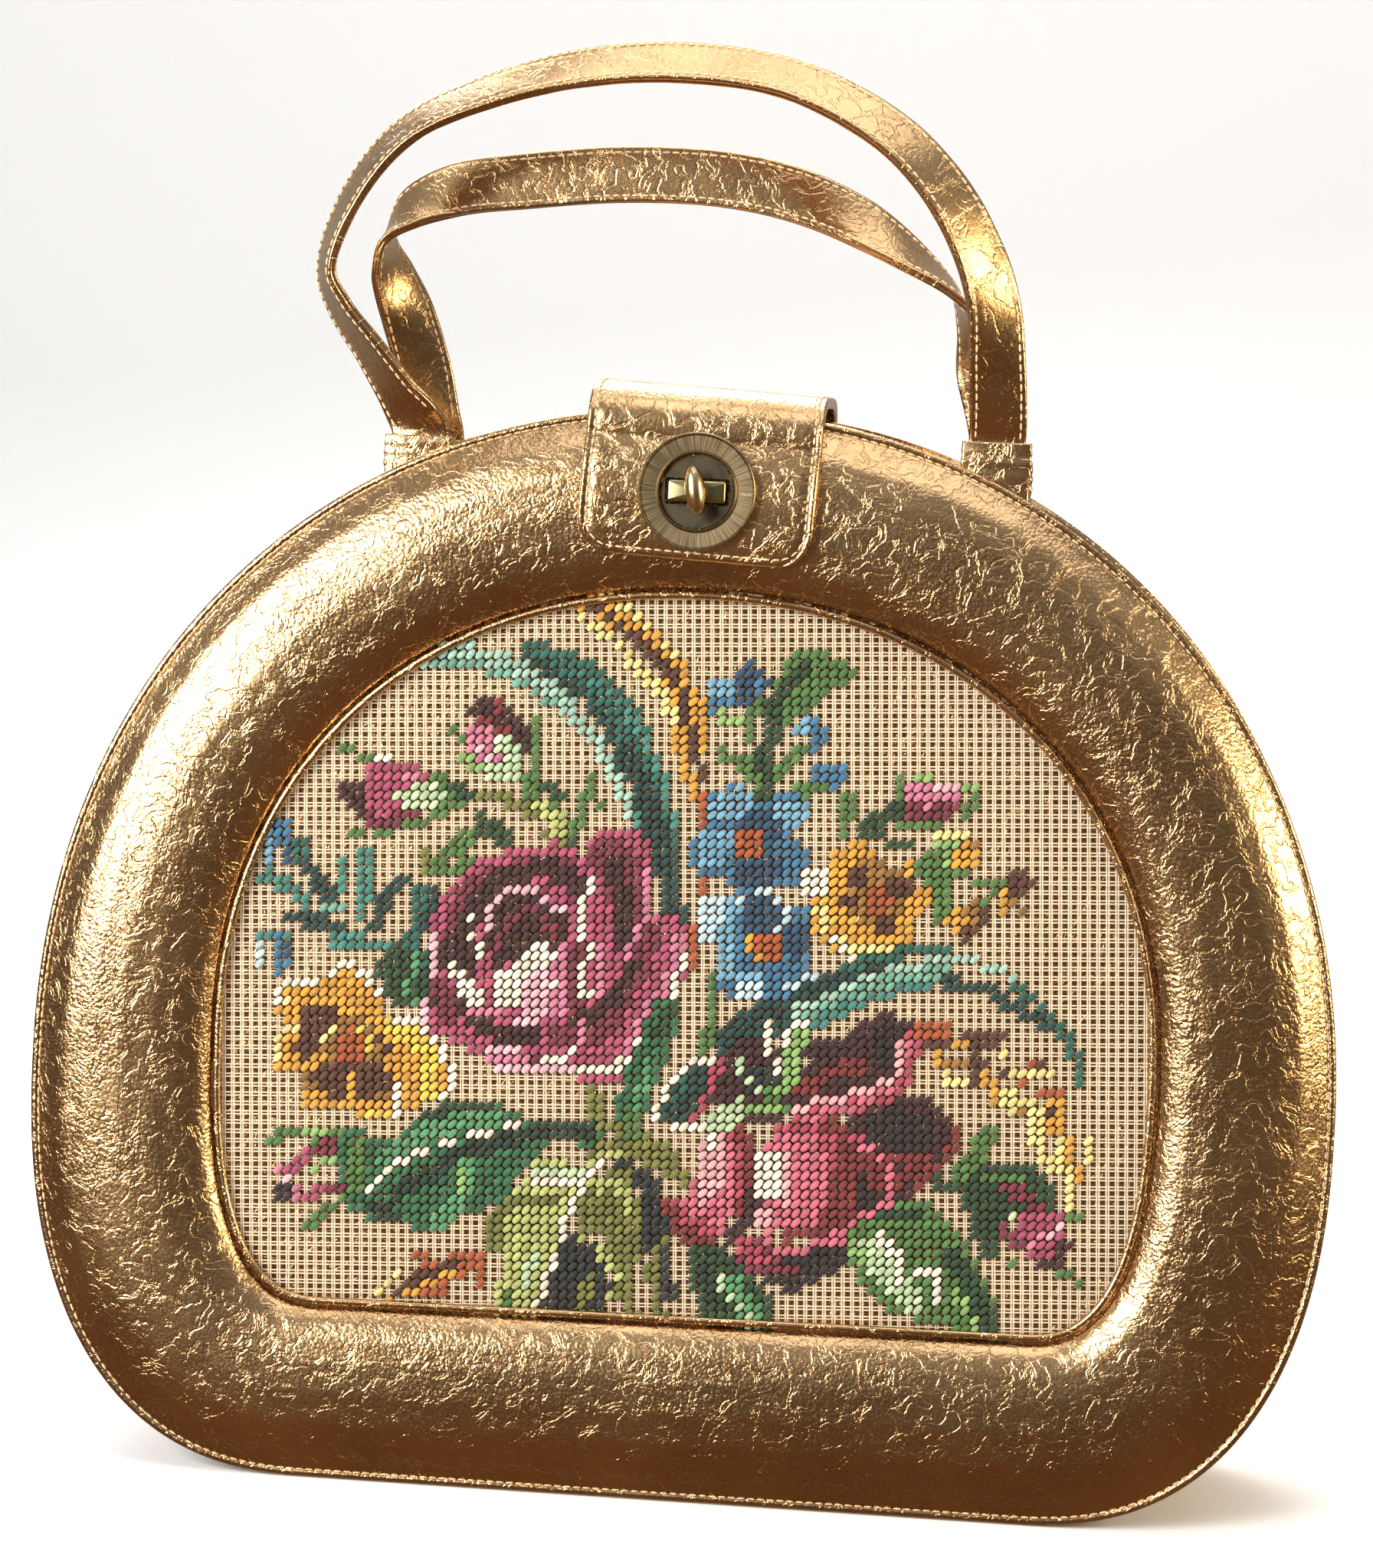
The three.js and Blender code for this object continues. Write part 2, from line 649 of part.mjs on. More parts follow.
const clearLoop = insetLoop(panelLoop, flangeWidth + gussetThickness);
frontPanel.add(namedMesh("front_pad", frontPad(), leather));
frontPanel.add(namedMesh("window_rim", windowRim(), leather));
const canvasSlab = slab(insetLoop(windowLoop, gap), gap, canvasFront);
frontPanel.add(namedMesh("canvas", canvasSlab, { color: 0xc9b48c, roughness: 0.9 }));
frontPanel.add(namedMesh("front_board", slab(clearLoop, -boardThickness, 0), leather));
frontPanel.add(namedMesh("front_collar_left", collar(-strapHalfSpacing, frontLeftCollarTop), leather));
frontPanel.add(namedMesh("front_collar_right", collar(strapHalfSpacing, frontRightCollarTop), leather));

const ring = namedMesh("lock_ring", lockRing(), brass);
ring.rotation.x = Math.PI;
ring.position.set(0, -lockOut, lockHeight);
const plate = namedMesh("lock_plate", lockPlate(), brass);
plate.rotation.x = Math.PI / 2;
plate.position.set(0, -lockOut, lockHeight);
const bar = namedMesh("lock_bar", lockBar(), brass);
bar.rotation.x = Math.PI / 2;
bar.position.set(0, -barFoot, lockHeight);
const knob = namedMesh("turn_knob", turnKnob(), brass);
knob.rotation.x = Math.PI / 2;
knob.position.set(0, -barTop, lockHeight);
frontPanel.add(ring, plate, bar, knob);

backPanel.add(namedMesh("back_pad", backPad(), leather));
backPanel.add(namedMesh("back_board", slab(clearLoop, -boardThickness, 0), leather));
backPanel.add(namedMesh("back_collar_left", collar(strapHalfSpacing, backCollarTop), leather));
backPanel.add(namedMesh("back_collar_right", collar(-strapHalfSpacing, backCollarTop), leather));

const tabTurned = new THREE.Group();
tabTurned.position.z = lockPoint.z;
tabTurned.rotation.y = degToRad(tabTurnDeg);
tabTurned.add(namedMesh("tab", tab(), leather));

const frontHandle = handle(
  frontHandleRows, -1, frontHandleRise, frontHandleReach, frontLeftCollarTop, frontRightCollarTop, 0,
);
const backHandle = handle(
  backHandleRows, 1, backHandleRise, backHandleReach, backCollarTop, backCollarTop, 180,
);

const bag = new THREE.Group();
bag.add(frontPanel, turnedRound, tabTurned);
bag.add(namedMesh("gusset", gusset(), leather));
bag.add(namedMesh("front_handle", frontHandle, leather));
bag.add(namedMesh("back_handle", backHandle, leather));

export default bag;
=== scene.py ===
import math

import bpy
import numpy as np
from mathutils import Matrix, Vector, noise


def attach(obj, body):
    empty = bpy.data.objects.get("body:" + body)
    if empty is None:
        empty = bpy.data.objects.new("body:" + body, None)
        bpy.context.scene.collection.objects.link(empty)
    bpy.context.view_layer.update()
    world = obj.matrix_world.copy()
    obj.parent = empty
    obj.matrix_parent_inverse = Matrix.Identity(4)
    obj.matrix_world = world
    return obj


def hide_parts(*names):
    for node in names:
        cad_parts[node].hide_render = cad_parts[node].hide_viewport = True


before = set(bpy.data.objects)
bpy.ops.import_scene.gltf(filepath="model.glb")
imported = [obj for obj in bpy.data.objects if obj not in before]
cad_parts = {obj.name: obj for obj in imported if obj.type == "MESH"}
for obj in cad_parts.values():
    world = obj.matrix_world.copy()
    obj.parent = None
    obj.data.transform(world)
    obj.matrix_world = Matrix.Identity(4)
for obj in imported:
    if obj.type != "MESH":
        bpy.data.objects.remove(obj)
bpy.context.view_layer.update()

scene = bpy.context.scene

# Camera: it stands 1.1 m in front of the bag, a little to the right and above its middle, and
# its lens gives the photograph's frame.
photo_height_pixels = 2047
focal_length_pixels = 5181.6
camera_distance = 1.100
camera_height = 0.300
camera_yaw = math.radians(5.50)
camera_pan = math.radians(0.16)
camera_tilt = math.radians(5.61)
camera_roll = math.radians(2.30)

heading = camera_yaw + camera_pan
level = math.cos(camera_tilt)
forward = Vector((-math.sin(heading) * level, math.cos(heading) * level, -math.sin(camera_tilt)))
level_right = forward.cross(Vector((0, 0, 1))).normalized()
level_up = level_right.cross(forward)
rolled_right = level_right * math.cos(camera_roll) + level_up * math.sin(camera_roll)
rolled_up = level_up * math.cos(camera_roll) - level_right * math.sin(camera_roll)

camera_data = bpy.data.cameras.new("camera")
camera_data.sensor_fit = "VERTICAL"
camera_data.sensor_height = 36
camera_data.lens = focal_length_pixels / photo_height_pixels * camera_data.sensor_height
camera = bpy.data.objects.new("camera", camera_data)
turn = Matrix((rolled_right, rolled_up, -forward)).transposed().to_4x4()
place = Vector((math.sin(camera_yaw), -math.cos(camera_yaw), 0)) * camera_distance
place.z = camera_height
camera.matrix_world = Matrix.Translation(place) @ turn
scene.collection.objects.link(camera)
scene.camera = camera
scene.view_settings.view_transform = "Standard"


# Studio: a pale floor that sweeps up into a backdrop, with a soft key light at the left and
# weaker ones at the right, above and behind. The leather mirrors a dim room in front of the bag,
# warm below, and a paler one above and behind.
def set_inputs(made, inputs):
    """A node's inputs set to values or linked to sockets."""
    for name, value in inputs.items():
        if isinstance(value, bpy.types.NodeSocket):
            made.id_data.links.new(value, made.inputs[name])
        else:
            made.inputs[name].default_value = value


def node(tree, kind, inputs=None, **settings):
    """A new node with its settings and its inputs."""
    made = tree.nodes.new(kind)
    for name, value in settings.items():
        setattr(made, name, value)
    set_inputs(made, inputs or {})
    return made


def bump(tree, height, depth):
    """The normal that a height gives."""
    return node(tree, "ShaderNodeBump", {"Height": height, "Distance": depth}).outputs[0]


def new_material(name):
    """An empty node material with its output and its Principled shader."""
    material = bpy.data.materials.new(name)
    material.use_nodes = True
    material.node_tree.nodes.clear()
    shader = node(material.node_tree, "ShaderNodeBsdfPrincipled")
    node(material.node_tree, "ShaderNodeOutputMaterial", {"Surface": shader.outputs["BSDF"]})
    return material, material.node_tree, shader


def mix_colours(tree, factor, first, second):
    """The blend of two colours by a factor."""
    inputs = {"Factor": factor, 6: first, 7: second}
    return node(tree, "ShaderNodeMix", inputs, data_type="RGBA").outputs[2]


def calculate(tree, operation, *values):
    """A Math node's result."""
    return node(tree, "ShaderNodeMath", dict(enumerate(values)), operation=operation).outputs[0]


def between(tree, value, low, high, to_low=0.0, to_high=1.0):
    """A value carried from one range to another, held at its ends."""
    inputs = {"Value": value, "From Min": low, "From Max": high, "To Min": to_low, "To Max": to_high}
    return node(tree, "ShaderNodeMapRange", inputs).outputs[0]


def new_object(name, points, faces):
    """A mesh object at the origin, smooth shaded."""
    mesh = bpy.data.meshes.new(name)
    mesh.from_pydata([tuple(point) for point in points], [], faces)
    mesh.update()
    mesh.shade_smooth()
    made = bpy.data.objects.new(name, mesh)
    scene.collection.objects.link(made)
    return made


floor_half_width = 3.0
floor_front = -3.0
sweep_start = 1.4
sweep_radius = 0.8
backdrop_height = 3.0
floor_drop = 0.0002
bend = [math.radians(angle) for angle in range(0, 91, 6)]
profile = [(floor_front, 0.0)]
profile += [(sweep_start + sweep_radius * math.sin(a), sweep_radius * (1 - math.cos(a))) for a in bend]
profile += [(sweep_start + sweep_radius, backdrop_height)]
floor_points = [(x, y, z - floor_drop) for y, z in profile for x in (-floor_half_width, floor_half_width)]
floor_faces = [(2 * i, 2 * i + 1, 2 * i + 3, 2 * i + 2) for i in range(len(profile) - 1)]
studio_floor = new_object("studio_floor", floor_points, floor_faces)
studio_floor.visible_glossy = False
paper, tree, shader = new_material("pale_paper")
set_inputs(shader, {"Base Color": (0.9, 0.91, 0.92, 1), "Roughness": 0.9, "Specular IOR Level": 0.1})
studio_floor.data.materials.append(paper)

lights = [
    {"name": "key", "place": (-1.05, -1.2, 0.75), "size": 1.0, "power": 48, "colour": (1, 0.98, 0.95)},
    {"name": "side", "place": (1.5, -0.5, 0.6), "size": 0.7, "power": 20, "colour": (1, 0.84, 0.58)},
    {"name": "top", "place": (0.1, -0.1, 1.7), "size": 1.4, "power": 13, "colour": (0.97, 0.98, 1)},
    {"name": "back", "place": (-0.3, 1.1, 1.3), "size": 1.0, "power": 22, "colour": (1, 1, 1)},
]
light_aim = Vector((0, 0, 0.18))
for light in lights:
    data = bpy.data.lights.new(light["name"], "AREA")
    data.shape = "SQUARE"
    data.size = light["size"]
    data.energy = light["power"]
    data.color = light["colour"]
    lamp = bpy.data.objects.new(light["name"], data)
    stand = Vector(light["place"])
    aimed = (light_aim - stand).to_track_quat("-Z", "Y").to_matrix().to_4x4()
    lamp.matrix_world = Matrix.Translation(stand) @ aimed
    scene.collection.objects.link(lamp)

room = bpy.data.worlds.new("room")
scene.world = room
room.use_nodes = True
tree = room.node_tree
tree.nodes.clear()
direction = node(tree, "ShaderNodeTexCoord").outputs["Generated"]
parts = node(tree, "ShaderNodeSeparateXYZ", {0: direction})
warm_below = (0.20, 0.10, 0.05, 1)
dim_front = (0.13, 0.11, 0.09, 1)
pale_above = (0.42, 0.42, 0.44, 1)
pale_behind = (0.46, 0.45, 0.44, 1)
seen_backdrop = (0.93, 0.94, 0.96, 1)
lower = mix_colours(tree, between(tree, parts.outputs["Z"], -0.35, 0.0), warm_below, dim_front)
whole = mix_colours(tree, between(tree, parts.outputs["Z"], 0.1, 0.8), lower, pale_above)
whole = mix_colours(tree, between(tree, parts.outputs["Y"], 0.0, 0.7), whole, pale_behind)
seen = node(tree, "ShaderNodeLightPath").outputs["Is Camera Ray"]
shown = mix_colours(tree, seen, whole, seen_backdrop)
background = node(tree, "ShaderNodeBackground", {"Color": shown, "Strength": 1.0})
node(tree, "ShaderNodeOutputWorld", {"Surface": background.outputs[0]})


# Front pad and back pad: stiffened panels covered in crinkled gold foil leather, the front one
# with a stuffed border round the needlepoint window. Both are sewn to the gusset near the edge.
millimetre = 0.001
panel = {"half_width": 178.2, "height": 297.1, "widest_at": 112.6, "top_power": 2.106, "low_power": 2.398,
         "base_half": 97.5}
window = {"half_width": 128.8, "height": 199.3, "widest_at": 74.3, "top_power": 2.141, "low_power": 2.617,
          "base_half": 95.3}
panel_lean = math.radians(4.8)
foot_half_depth = 42
pad_rise = 10
seat_gap = 0.3
window_turn = math.radians(0.6)
window_shift = 2.3
window_above_base = 48.4


def on_bag(x, up, out, side=-1):
    """A panel's point in the bag's frame, in metres: across, up the panel and outwards."""
    depth = foot_half_depth - up * math.sin(panel_lean) + out * math.cos(panel_lean)
    height = up * math.cos(panel_lean) + out * math.sin(panel_lean)
    x, depth, height = np.broadcast_arrays(x, depth, height)
    return np.stack([x, side * depth, height], axis=-1) * millimetre


def half_outline(shape, top_end=math.pi / 2, corner_steps=120, crown_steps=160):
    """The right half of a D outline, from the base corner up to an angle of its crown."""
    t = np.linspace(0, math.pi / 2, corner_steps + 1)
    reach = shape["half_width"] - shape["base_half"]
    drop = np.clip(np.cos(t), 0, 1) ** (2 / shape["low_power"])
    corner = np.stack([shape["base_half"] + reach * np.sin(t) ** (2 / shape["low_power"]),
                       shape["widest_at"] * (1 - drop)], axis=1)
    t = np.linspace(0, top_end, crown_steps + 1)[1:]
    rise = shape["height"] - shape["widest_at"]
    crown = np.stack([shape["half_width"] * np.clip(np.cos(t), 0, 1) ** (2 / shape["top_power"]),
                      shape["widest_at"] + rise * np.sin(t) ** (2 / shape["top_power"])], axis=1)
    return np.concatenate([corner, crown])


def mirrored(line):
    """A line's mirror image, run backwards."""
    return line[::-1] * (-1, 1)


def outline_loop(shape):
    """A whole D outline, closed, from the middle of the base round by the right side."""
    base_steps = 60
    run = np.linspace(0, shape["base_half"], base_steps + 1)[:-1]
    base = np.stack([run, np.zeros_like(run)], axis=1)
    right = np.concatenate([base, half_outline(shape)])
    return np.concatenate([right, mirrored(right)[1:-1]])


def walked(line):
    """The distance walked along an open line to each of its points."""
    return np.concatenate([[0], np.cumsum(np.linalg.norm(np.diff(line, axis=0), axis=1))])


def walked_round(loop):
    """The distance walked along a closed loop to each of its points, and once round."""
    return walked(np.concatenate([loop, loop[:1]]))


def taken_along(loop, distances, stations):
    """The points of a closed loop at stations of the walk given by distances."""
    closed = np.concatenate([loop, loop[:1]])
    return np.stack([np.interp(stations, distances, closed[:, axis]) for axis in (0, 1)], axis=1)


def leather_noise(along, across, size_along, size_across, seed):
    """Smooth noise over a surface, from about -1 to 1, with its own size each way."""
    pairs = zip(along.ravel() / size_along, across.ravel() / size_across)
    values = [noise.noise(Vector((a, b, seed))) for a, b in pairs]
    return np.array(values).reshape(along.shape)


def solid_from_loops(name, loops, ends):
    """A closed surface through loops, its ends joined to each other or closed by fans."""
    rows, count = loops.shape[:2]
    points = list(loops.reshape(-1, 3))
    index = np.arange(rows * count).reshape(rows, count)
    beside = np.roll(index, -1, axis=1)
    after = np.roll(index, -1, axis=0)
    corner = np.roll(beside, -1, axis=0)
    used = rows if ends == "joined" else rows - 1
    quads = np.stack([index, beside, corner, after], axis=-1)[:used].reshape(-1, 4)
    faces = [tuple(map(int, quad)) for quad in quads]
    if ends == "fan":
        for row, turned in ((0, True), (rows - 1, False)):
            points.append(loops[row].mean(axis=0))
            middle = len(points) - 1
            for a, b in zip(index[row], beside[row]):
                faces.append((middle, int(b), int(a)) if turned else (middle, int(a), int(b)))
    made = new_object(name, points, faces)
    corners = np.array([points[i] for face in faces for i in face[:3]]).reshape(-1, 3, 3)
    fourth = np.array([points[face[-1]] for face in faces])
    volume = np.einsum("ij,ij->", corners[:, 0], np.cross(corners[:, 1], corners[:, 2]))
    volume += np.einsum("ij,ij->", corners[:, 0], np.cross(corners[:, 2], fourth))
    if volume < 0:
        made.data.flip_normals()
    return made


def lay_uv(made, along, across, name="surface"):
    """A UV map in metres: the distance along the piece and across it, for each point."""
    vertex = np.empty(len(made.data.loops), dtype=np.int32)
    made.data.loops.foreach_get("vertex_index", vertex)
    flat = np.stack([np.ravel(along), np.ravel(across)], axis=1)
    extra = len(made.data.vertices) - len(flat)
    flat = np.concatenate([flat, np.repeat(flat[-1:], extra, axis=0)])
    layer = made.data.uv_layers.new(name=name)
    layer.data.foreach_set("uv", flat[vertex].astype(np.float32).ravel())


def foil_group():
    """The shared foil finish: its tone, its roughness and the height of its crackle."""
    group = bpy.data.node_groups.new("gold_foil", "ShaderNodeTree")
    light_gold = (0.70, 0.45, 0.22, 1)
    deep_gold = (0.50, 0.31, 0.15, 1)
    smoked_gold = (0.34, 0.23, 0.12, 1)
    worn_brown = (0.30, 0.16, 0.07, 1)
    ripple_reach = 0.0016
    fold_scale = 175
    crease_width = 0.05
    grain_depth = 0.00002
    group.interface.new_socket(name="Place", in_out="INPUT", socket_type="NodeSocketVector")
    given_values = {"Crackle Size": 0.0011, "Crackle Depth": 0.00006, "Wrinkle Depth": 0.0001, "Darker": 0.3}
    for name, value in given_values.items():
        socket = group.interface.new_socket(name=name, in_out="INPUT", socket_type="NodeSocketFloat")
        socket.default_value = value
    group.interface.new_socket(name="Tone", in_out="OUTPUT", socket_type="NodeSocketColor")
    for name in ("Roughness", "Height"):
        group.interface.new_socket(name=name, in_out="OUTPUT", socket_type="NodeSocketFloat")
    given = node(group, "NodeGroupInput").outputs
    ripple = node(group, "ShaderNodeTexNoise", {"Vector": given["Place"], "Scale": 420, "Detail": 1})
    shift = node(group, "ShaderNodeVectorMath", {0: ripple.outputs["Color"], 1: (0.5, 0.5, 0.5)},
                 operation="SUBTRACT")
    shift = node(group, "ShaderNodeVectorMath", {0: shift.outputs[0], "Scale": ripple_reach},
                 operation="SCALE")
    place = node(group, "ShaderNodeVectorMath", {0: given["Place"], 1: shift.outputs[0]}, operation="ADD")
    cells = {"Vector": place.outputs[0], "Scale": calculate(group, "DIVIDE", 1, given["Crackle Size"])}
    domes = node(group, "ShaderNodeTexVoronoi", cells, feature="F1")
    edges = node(group, "ShaderNodeTexVoronoi", cells, feature="DISTANCE_TO_EDGE")
    region = node(group, "ShaderNodeTexNoise", {"Vector": given["Place"], "Scale": 26, "Detail": 3})
    crinkled = between(group, region.outputs[0], 0.35, 0.62, 0.35, 1.0)
    dome = calculate(group, "SUBTRACT", 1, domes.outputs["Distance"])
    dome = calculate(group, "MULTIPLY", calculate(group, "MULTIPLY", dome, given["Crackle Depth"]), crinkled)
    folds = node(group, "ShaderNodeTexNoise", {"Vector": given["Place"], "Scale": fold_scale, "Detail": 4,
                                               "Distortion": 0.8})
    ridge = calculate(group, "ABSOLUTE", calculate(group, "SUBTRACT", folds.outputs[0], 0.5))
    crease = between(group, ridge, 0.0, crease_width, -1.0, 0.0)
    fold = calculate(group, "ADD", crease, folds.outputs[0])
    fold = calculate(group, "MULTIPLY", fold, given["Wrinkle Depth"])
    grain = node(group, "ShaderNodeTexNoise", {"Vector": given["Place"], "Scale": 2600, "Detail": 2})
    fine = calculate(group, "MULTIPLY", grain.outputs[0], grain_depth)
    height = calculate(group, "ADD", calculate(group, "ADD", dome, fold), fine)
    worn = between(group, edges.outputs["Distance"], 0.0, 0.12, 0.55, 0.0)
    worn = calculate(group, "MULTIPLY", worn, crinkled)
    gold = mix_colours(group, between(group, region.outputs[0], 0.3, 0.7), light_gold, deep_gold)
    gold = mix_colours(group, given["Darker"], gold, smoked_gold)
    tone = mix_colours(group, worn, gold, worn_brown)
    rough = between(group, grain.outputs[0], 0.3, 0.7, 0.17, 0.3)
    node(group, "NodeGroupOutput", {"Tone": tone, "Roughness": rough, "Height": height})
    return group


gold_foil = foil_group()


def foil_material(name, own_map=True, stretch=(1, 1, 1), **values):
    """Gold foil leather on the piece's own map, or on the bag's frame where it has none."""
    material, tree, shader = new_material(name)
    if own_map:
        start = node(tree, "ShaderNodeUVMap", uv_map="surface").outputs[0]
    else:
        start = node(tree, "ShaderNodeTexCoord").outputs["Object"]
    spread = node(tree, "ShaderNodeMapping", {"Vector": start, "Scale": stretch})
    foil = node(tree, "ShaderNodeGroup", node_tree=gold_foil)
    tree.links.new(spread.outputs[0], foil.inputs["Place"])
    for label, value in values.items():
        foil.inputs[label.replace("_", " ").title()].default_value = value
    set_inputs(shader, {
        "Base Color": foil.outputs["Tone"], "Roughness": foil.outputs["Roughness"], "Metallic": 1.0,
        "Normal": bump(tree, foil.outputs["Height"], 1.0)})
    return material


panel_loop = outline_loop(panel)
turned = Matrix.Rotation(window_turn, 2)
window_loop = outline_loop(window) @ np.array(turned.transposed()) + (window_shift, window_above_base)
panel_walk = walked_round(panel_loop)

# Height of the pad from its cut edge to the window, by shares of the border's width and the rise.
pad_rows = [
    {"across": 0.0, "rise": 0.13}, {"across": 0.008, "rise": 0.2}, {"across": 0.03, "rise": 0.22},
    {"across": 0.042, "rise": 0.17}, {"across": 0.056, "rise": 0.24}, {"across": 0.085, "rise": 0.31},
    {"across": 0.12, "rise": 0.43}, {"across": 0.2, "rise": 0.7}, {"across": 0.34, "rise": 0.92},
    {"across": 0.52, "rise": 1.0}, {"across": 0.7, "rise": 0.97}, {"across": 0.84, "rise": 0.86},
    {"across": 0.93, "rise": 0.68}, {"across": 0.975, "rise": 0.5}, {"across": 0.995, "rise": 0.36},
    {"across": 1.0, "rise": 0.2},
]


def pad_height(across):
    """The pad's height over the panel in millimetres, rounded between the rows."""
    known = [row["across"] for row in pad_rows]
    rises = [row["rise"] for row in pad_rows]
    spread = 0.012 * np.clip((across - 0.05) / 0.1, 0, 1) * np.clip((1 - across) / 0.06, 0, 1)
    samples = [np.interp(across + spread * k, known, rises) for k in (-2, -1, 0, 1, 2)]
    return pad_rise * np.mean(samples, axis=0)


def round_noise(along, across, size_along, size_across, seed):
    """Leather noise round the border that meets itself where the walk closes."""
    overlap = 60
    around = panel_walk[-1]
    share = np.clip((along - around + overlap) / overlap, 0, 1)
    first = leather_noise(along, across, size_along, size_across, seed)
    second = leather_noise(along - around, across, size_along, size_across, seed)
    return first * (1 - share) + second * share


def pad_relief(along, across, width):
    """Puckers at both seams, and dents and slack over the stuffing, in millimetres."""
    near_edge = np.exp(-((across - 0.13) / 0.09) ** 2)
    near_window = np.exp(-((across - 0.93) / 0.06) ** 2)
    distance = across * width
    puckers = round_noise(along, distance, 5.5, 16, 1.7)
    rolls = round_noise(along, distance, 8, 14, 5.2)
    slack = round_noise(along + 0.6 * distance, distance, 17, 26, 9.1)
    dents = round_noise(along, distance, 48, 34, 3.4)
    body = np.clip(across / 0.1, 0, 1) * np.clip((1 - across) / 0.08, 0, 1)
    return 0.12 * near_edge * puckers + 0.1 * near_window * rolls + body * (0.1 * slack + 0.4 * dents)


def pad_loop(side, walk, share):
    """The loop over a pad at a share of the border's width, in metres."""
    outer = taken_along(panel_loop, panel_walk, walk)
    hole = taken_along(window_loop, panel_walk, walk)
    line = outer + (hole - outer) * share
    row = np.full(len(walk), share)
    out = pad_height(row) + pad_relief(walk, row, np.linalg.norm(outer - hole, axis=1))
    return on_bag(-side * line[:, 0], line[:, 1], out, side)


def border_pad(name, side, stations, across, inner=()):
    """A pad's loops from its seam to the window's edge, then over the inner loops, if any."""
    walk = np.linspace(0, panel_walk[-1], stations, endpoint=False)
    outer = taken_along(panel_loop, panel_walk, walk)
    hole = taken_along(window_loop, panel_walk, walk)
    width = np.linalg.norm(outer - hole, axis=1)

    def placed(line, out):
        return on_bag(-side * line[:, 0], line[:, 1], out, side)
    rows = [(placed(outer, seat_gap), 0 * width)]
    rows += [(pad_loop(side, walk, share), share * width) for share in across]
    centre = hole.mean(axis=0)
    for share in inner:
        line = hole + (centre - hole) * share
        out = pad_rise + 0.5 * leather_noise(line[:, 0], line[:, 1], 38, 38, 7.7)
        rows.append((placed(line, out), width + np.linalg.norm(hole - line, axis=1)))
    if not inner:
        rows.append((placed(hole, seat_gap), width))
    loops, depths = (np.array(part) for part in zip(*rows))
    made = solid_from_loops(name, loops, "fan" if inner else "joined")
    lay_uv(made, (walk + 0 * depths) * millimetre, depths * millimetre)
    return made


edge_shares = [0, 0.008, 0.02, 0.03, 0.036, 0.042, 0.048, 0.056, 0.07, 0.085, 0.1]
roll_shares = [0.9, 0.92, 0.94, 0.955, 0.97, 0.98, 0.988, 0.995, 1.0]
front_shares = edge_shares + list(np.linspace(0.12, 0.88, 36)) + roll_shares
front_stations = 760
back_stations = 420
front_pad = border_pad("front_pad_leather", -1, front_stations, front_shares)
pad_foil = foil_material("pad_foil", own_map=False, crackle_depth=0.00011, wrinkle_depth=0.00008)
front_pad.data.materials.append(pad_foil)
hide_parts("front_pad")
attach(front_pad, "bag")

back_shares = edge_shares + list(np.linspace(0.12, 0.52, 12))
flat_shares = [0.0, 0.1, 0.2, 0.3, 0.4, 0.5, 0.6, 0.7, 0.8, 0.9]
back_pad = border_pad("back_pad_leather", 1, back_stations, back_shares, flat_shares)
back_pad.data.materials.append(foil_material("back_foil", own_map=False))
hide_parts("back_pad")
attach(back_pad, "bag")

board_foil = foil_material("board_foil", own_map=False, crackle_size=0.0018, crackle_depth=0.0002,
                           darker=0.45)
for name in ("front_board", "back_board"):
    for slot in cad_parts[name].material_slots:
        slot.material = board_foil


# Sewn rows: gold thread in a lockstitch through the leather's edges. The same unit and tree make
# the rows on the pads, the tab and the handles.
sewn_pitch = 2.65
sewn_share = 0.042
sewn_stitch = {"half_length": 1.05, "half_width": 0.4, "half_height": 0.42, "rings": 3, "sides": 6}


def stitch_unit(name, half_length, half_width, half_height, rings, sides):
    """One plump stitch along X, flattened underneath."""
    points = []
    for i in range(rings):
        pitch = math.pi * (i + 0.5) / rings
        swell = math.sin(pitch) ** 0.7
        for k in range(sides):
            spin = 2 * math.pi * (k + 0.5) / sides
            out = max(math.sin(spin), -0.4) * half_height
            points.append((-math.cos(pitch) * half_length, math.cos(spin) * half_width * swell, out * swell))
    faces = []
    for i in range(rings - 1):
        for k in range(sides):
            a, b = i * sides + k, i * sides + (k + 1) % sides
            faces.append((a, a + sides, b + sides, b))
    for start, tip, turned in ((0, -1, True), ((rings - 1) * sides, 1, False)):
        points.append((tip * half_length, 0, 0))
        middle = len(points) - 1
        for k in range(sides):
            a, b = start + k, start + (k + 1) % sides
            faces.append((middle, a, b) if turned else (middle, b, a))
    return new_object(name, np.array(points) * millimetre, faces)


def start_tree(name, laid_on, sizes):
    """An empty tree that takes points or lines, a unit, its finish and some sizes."""
    made = bpy.data.node_groups.new(name, "GeometryNodeTree")
    sockets = {laid_on: "Geometry", "Unit": "Object", "Finish": "Material"}
    sockets.update(dict.fromkeys(sizes, "Float"))
    for label, kind in sockets.items():
        made.interface.new_socket(name=label, in_out="INPUT", socket_type="NodeSocket" + kind)
    made.interface.new_socket(name="Result", in_out="OUTPUT", socket_type="NodeSocketGeometry")
    given = node(made, "NodeGroupInput").outputs
    return made, given, node(made, "GeometryNodeObjectInfo", {"Object": given["Unit"]})


def end_tree(made, given, copies):
    """Joins a tree's copies and gives them their finish."""
    joined = node(made, "GeometryNodeRealizeInstances", {"Geometry": copies.outputs[0]})
    finished = node(made, "GeometryNodeSetMaterial", {
        "Geometry": joined.outputs[0], "Material": given["Finish"]})
    node(made, "NodeGroupOutput", {"Result": finished.outputs[0]})
    return made


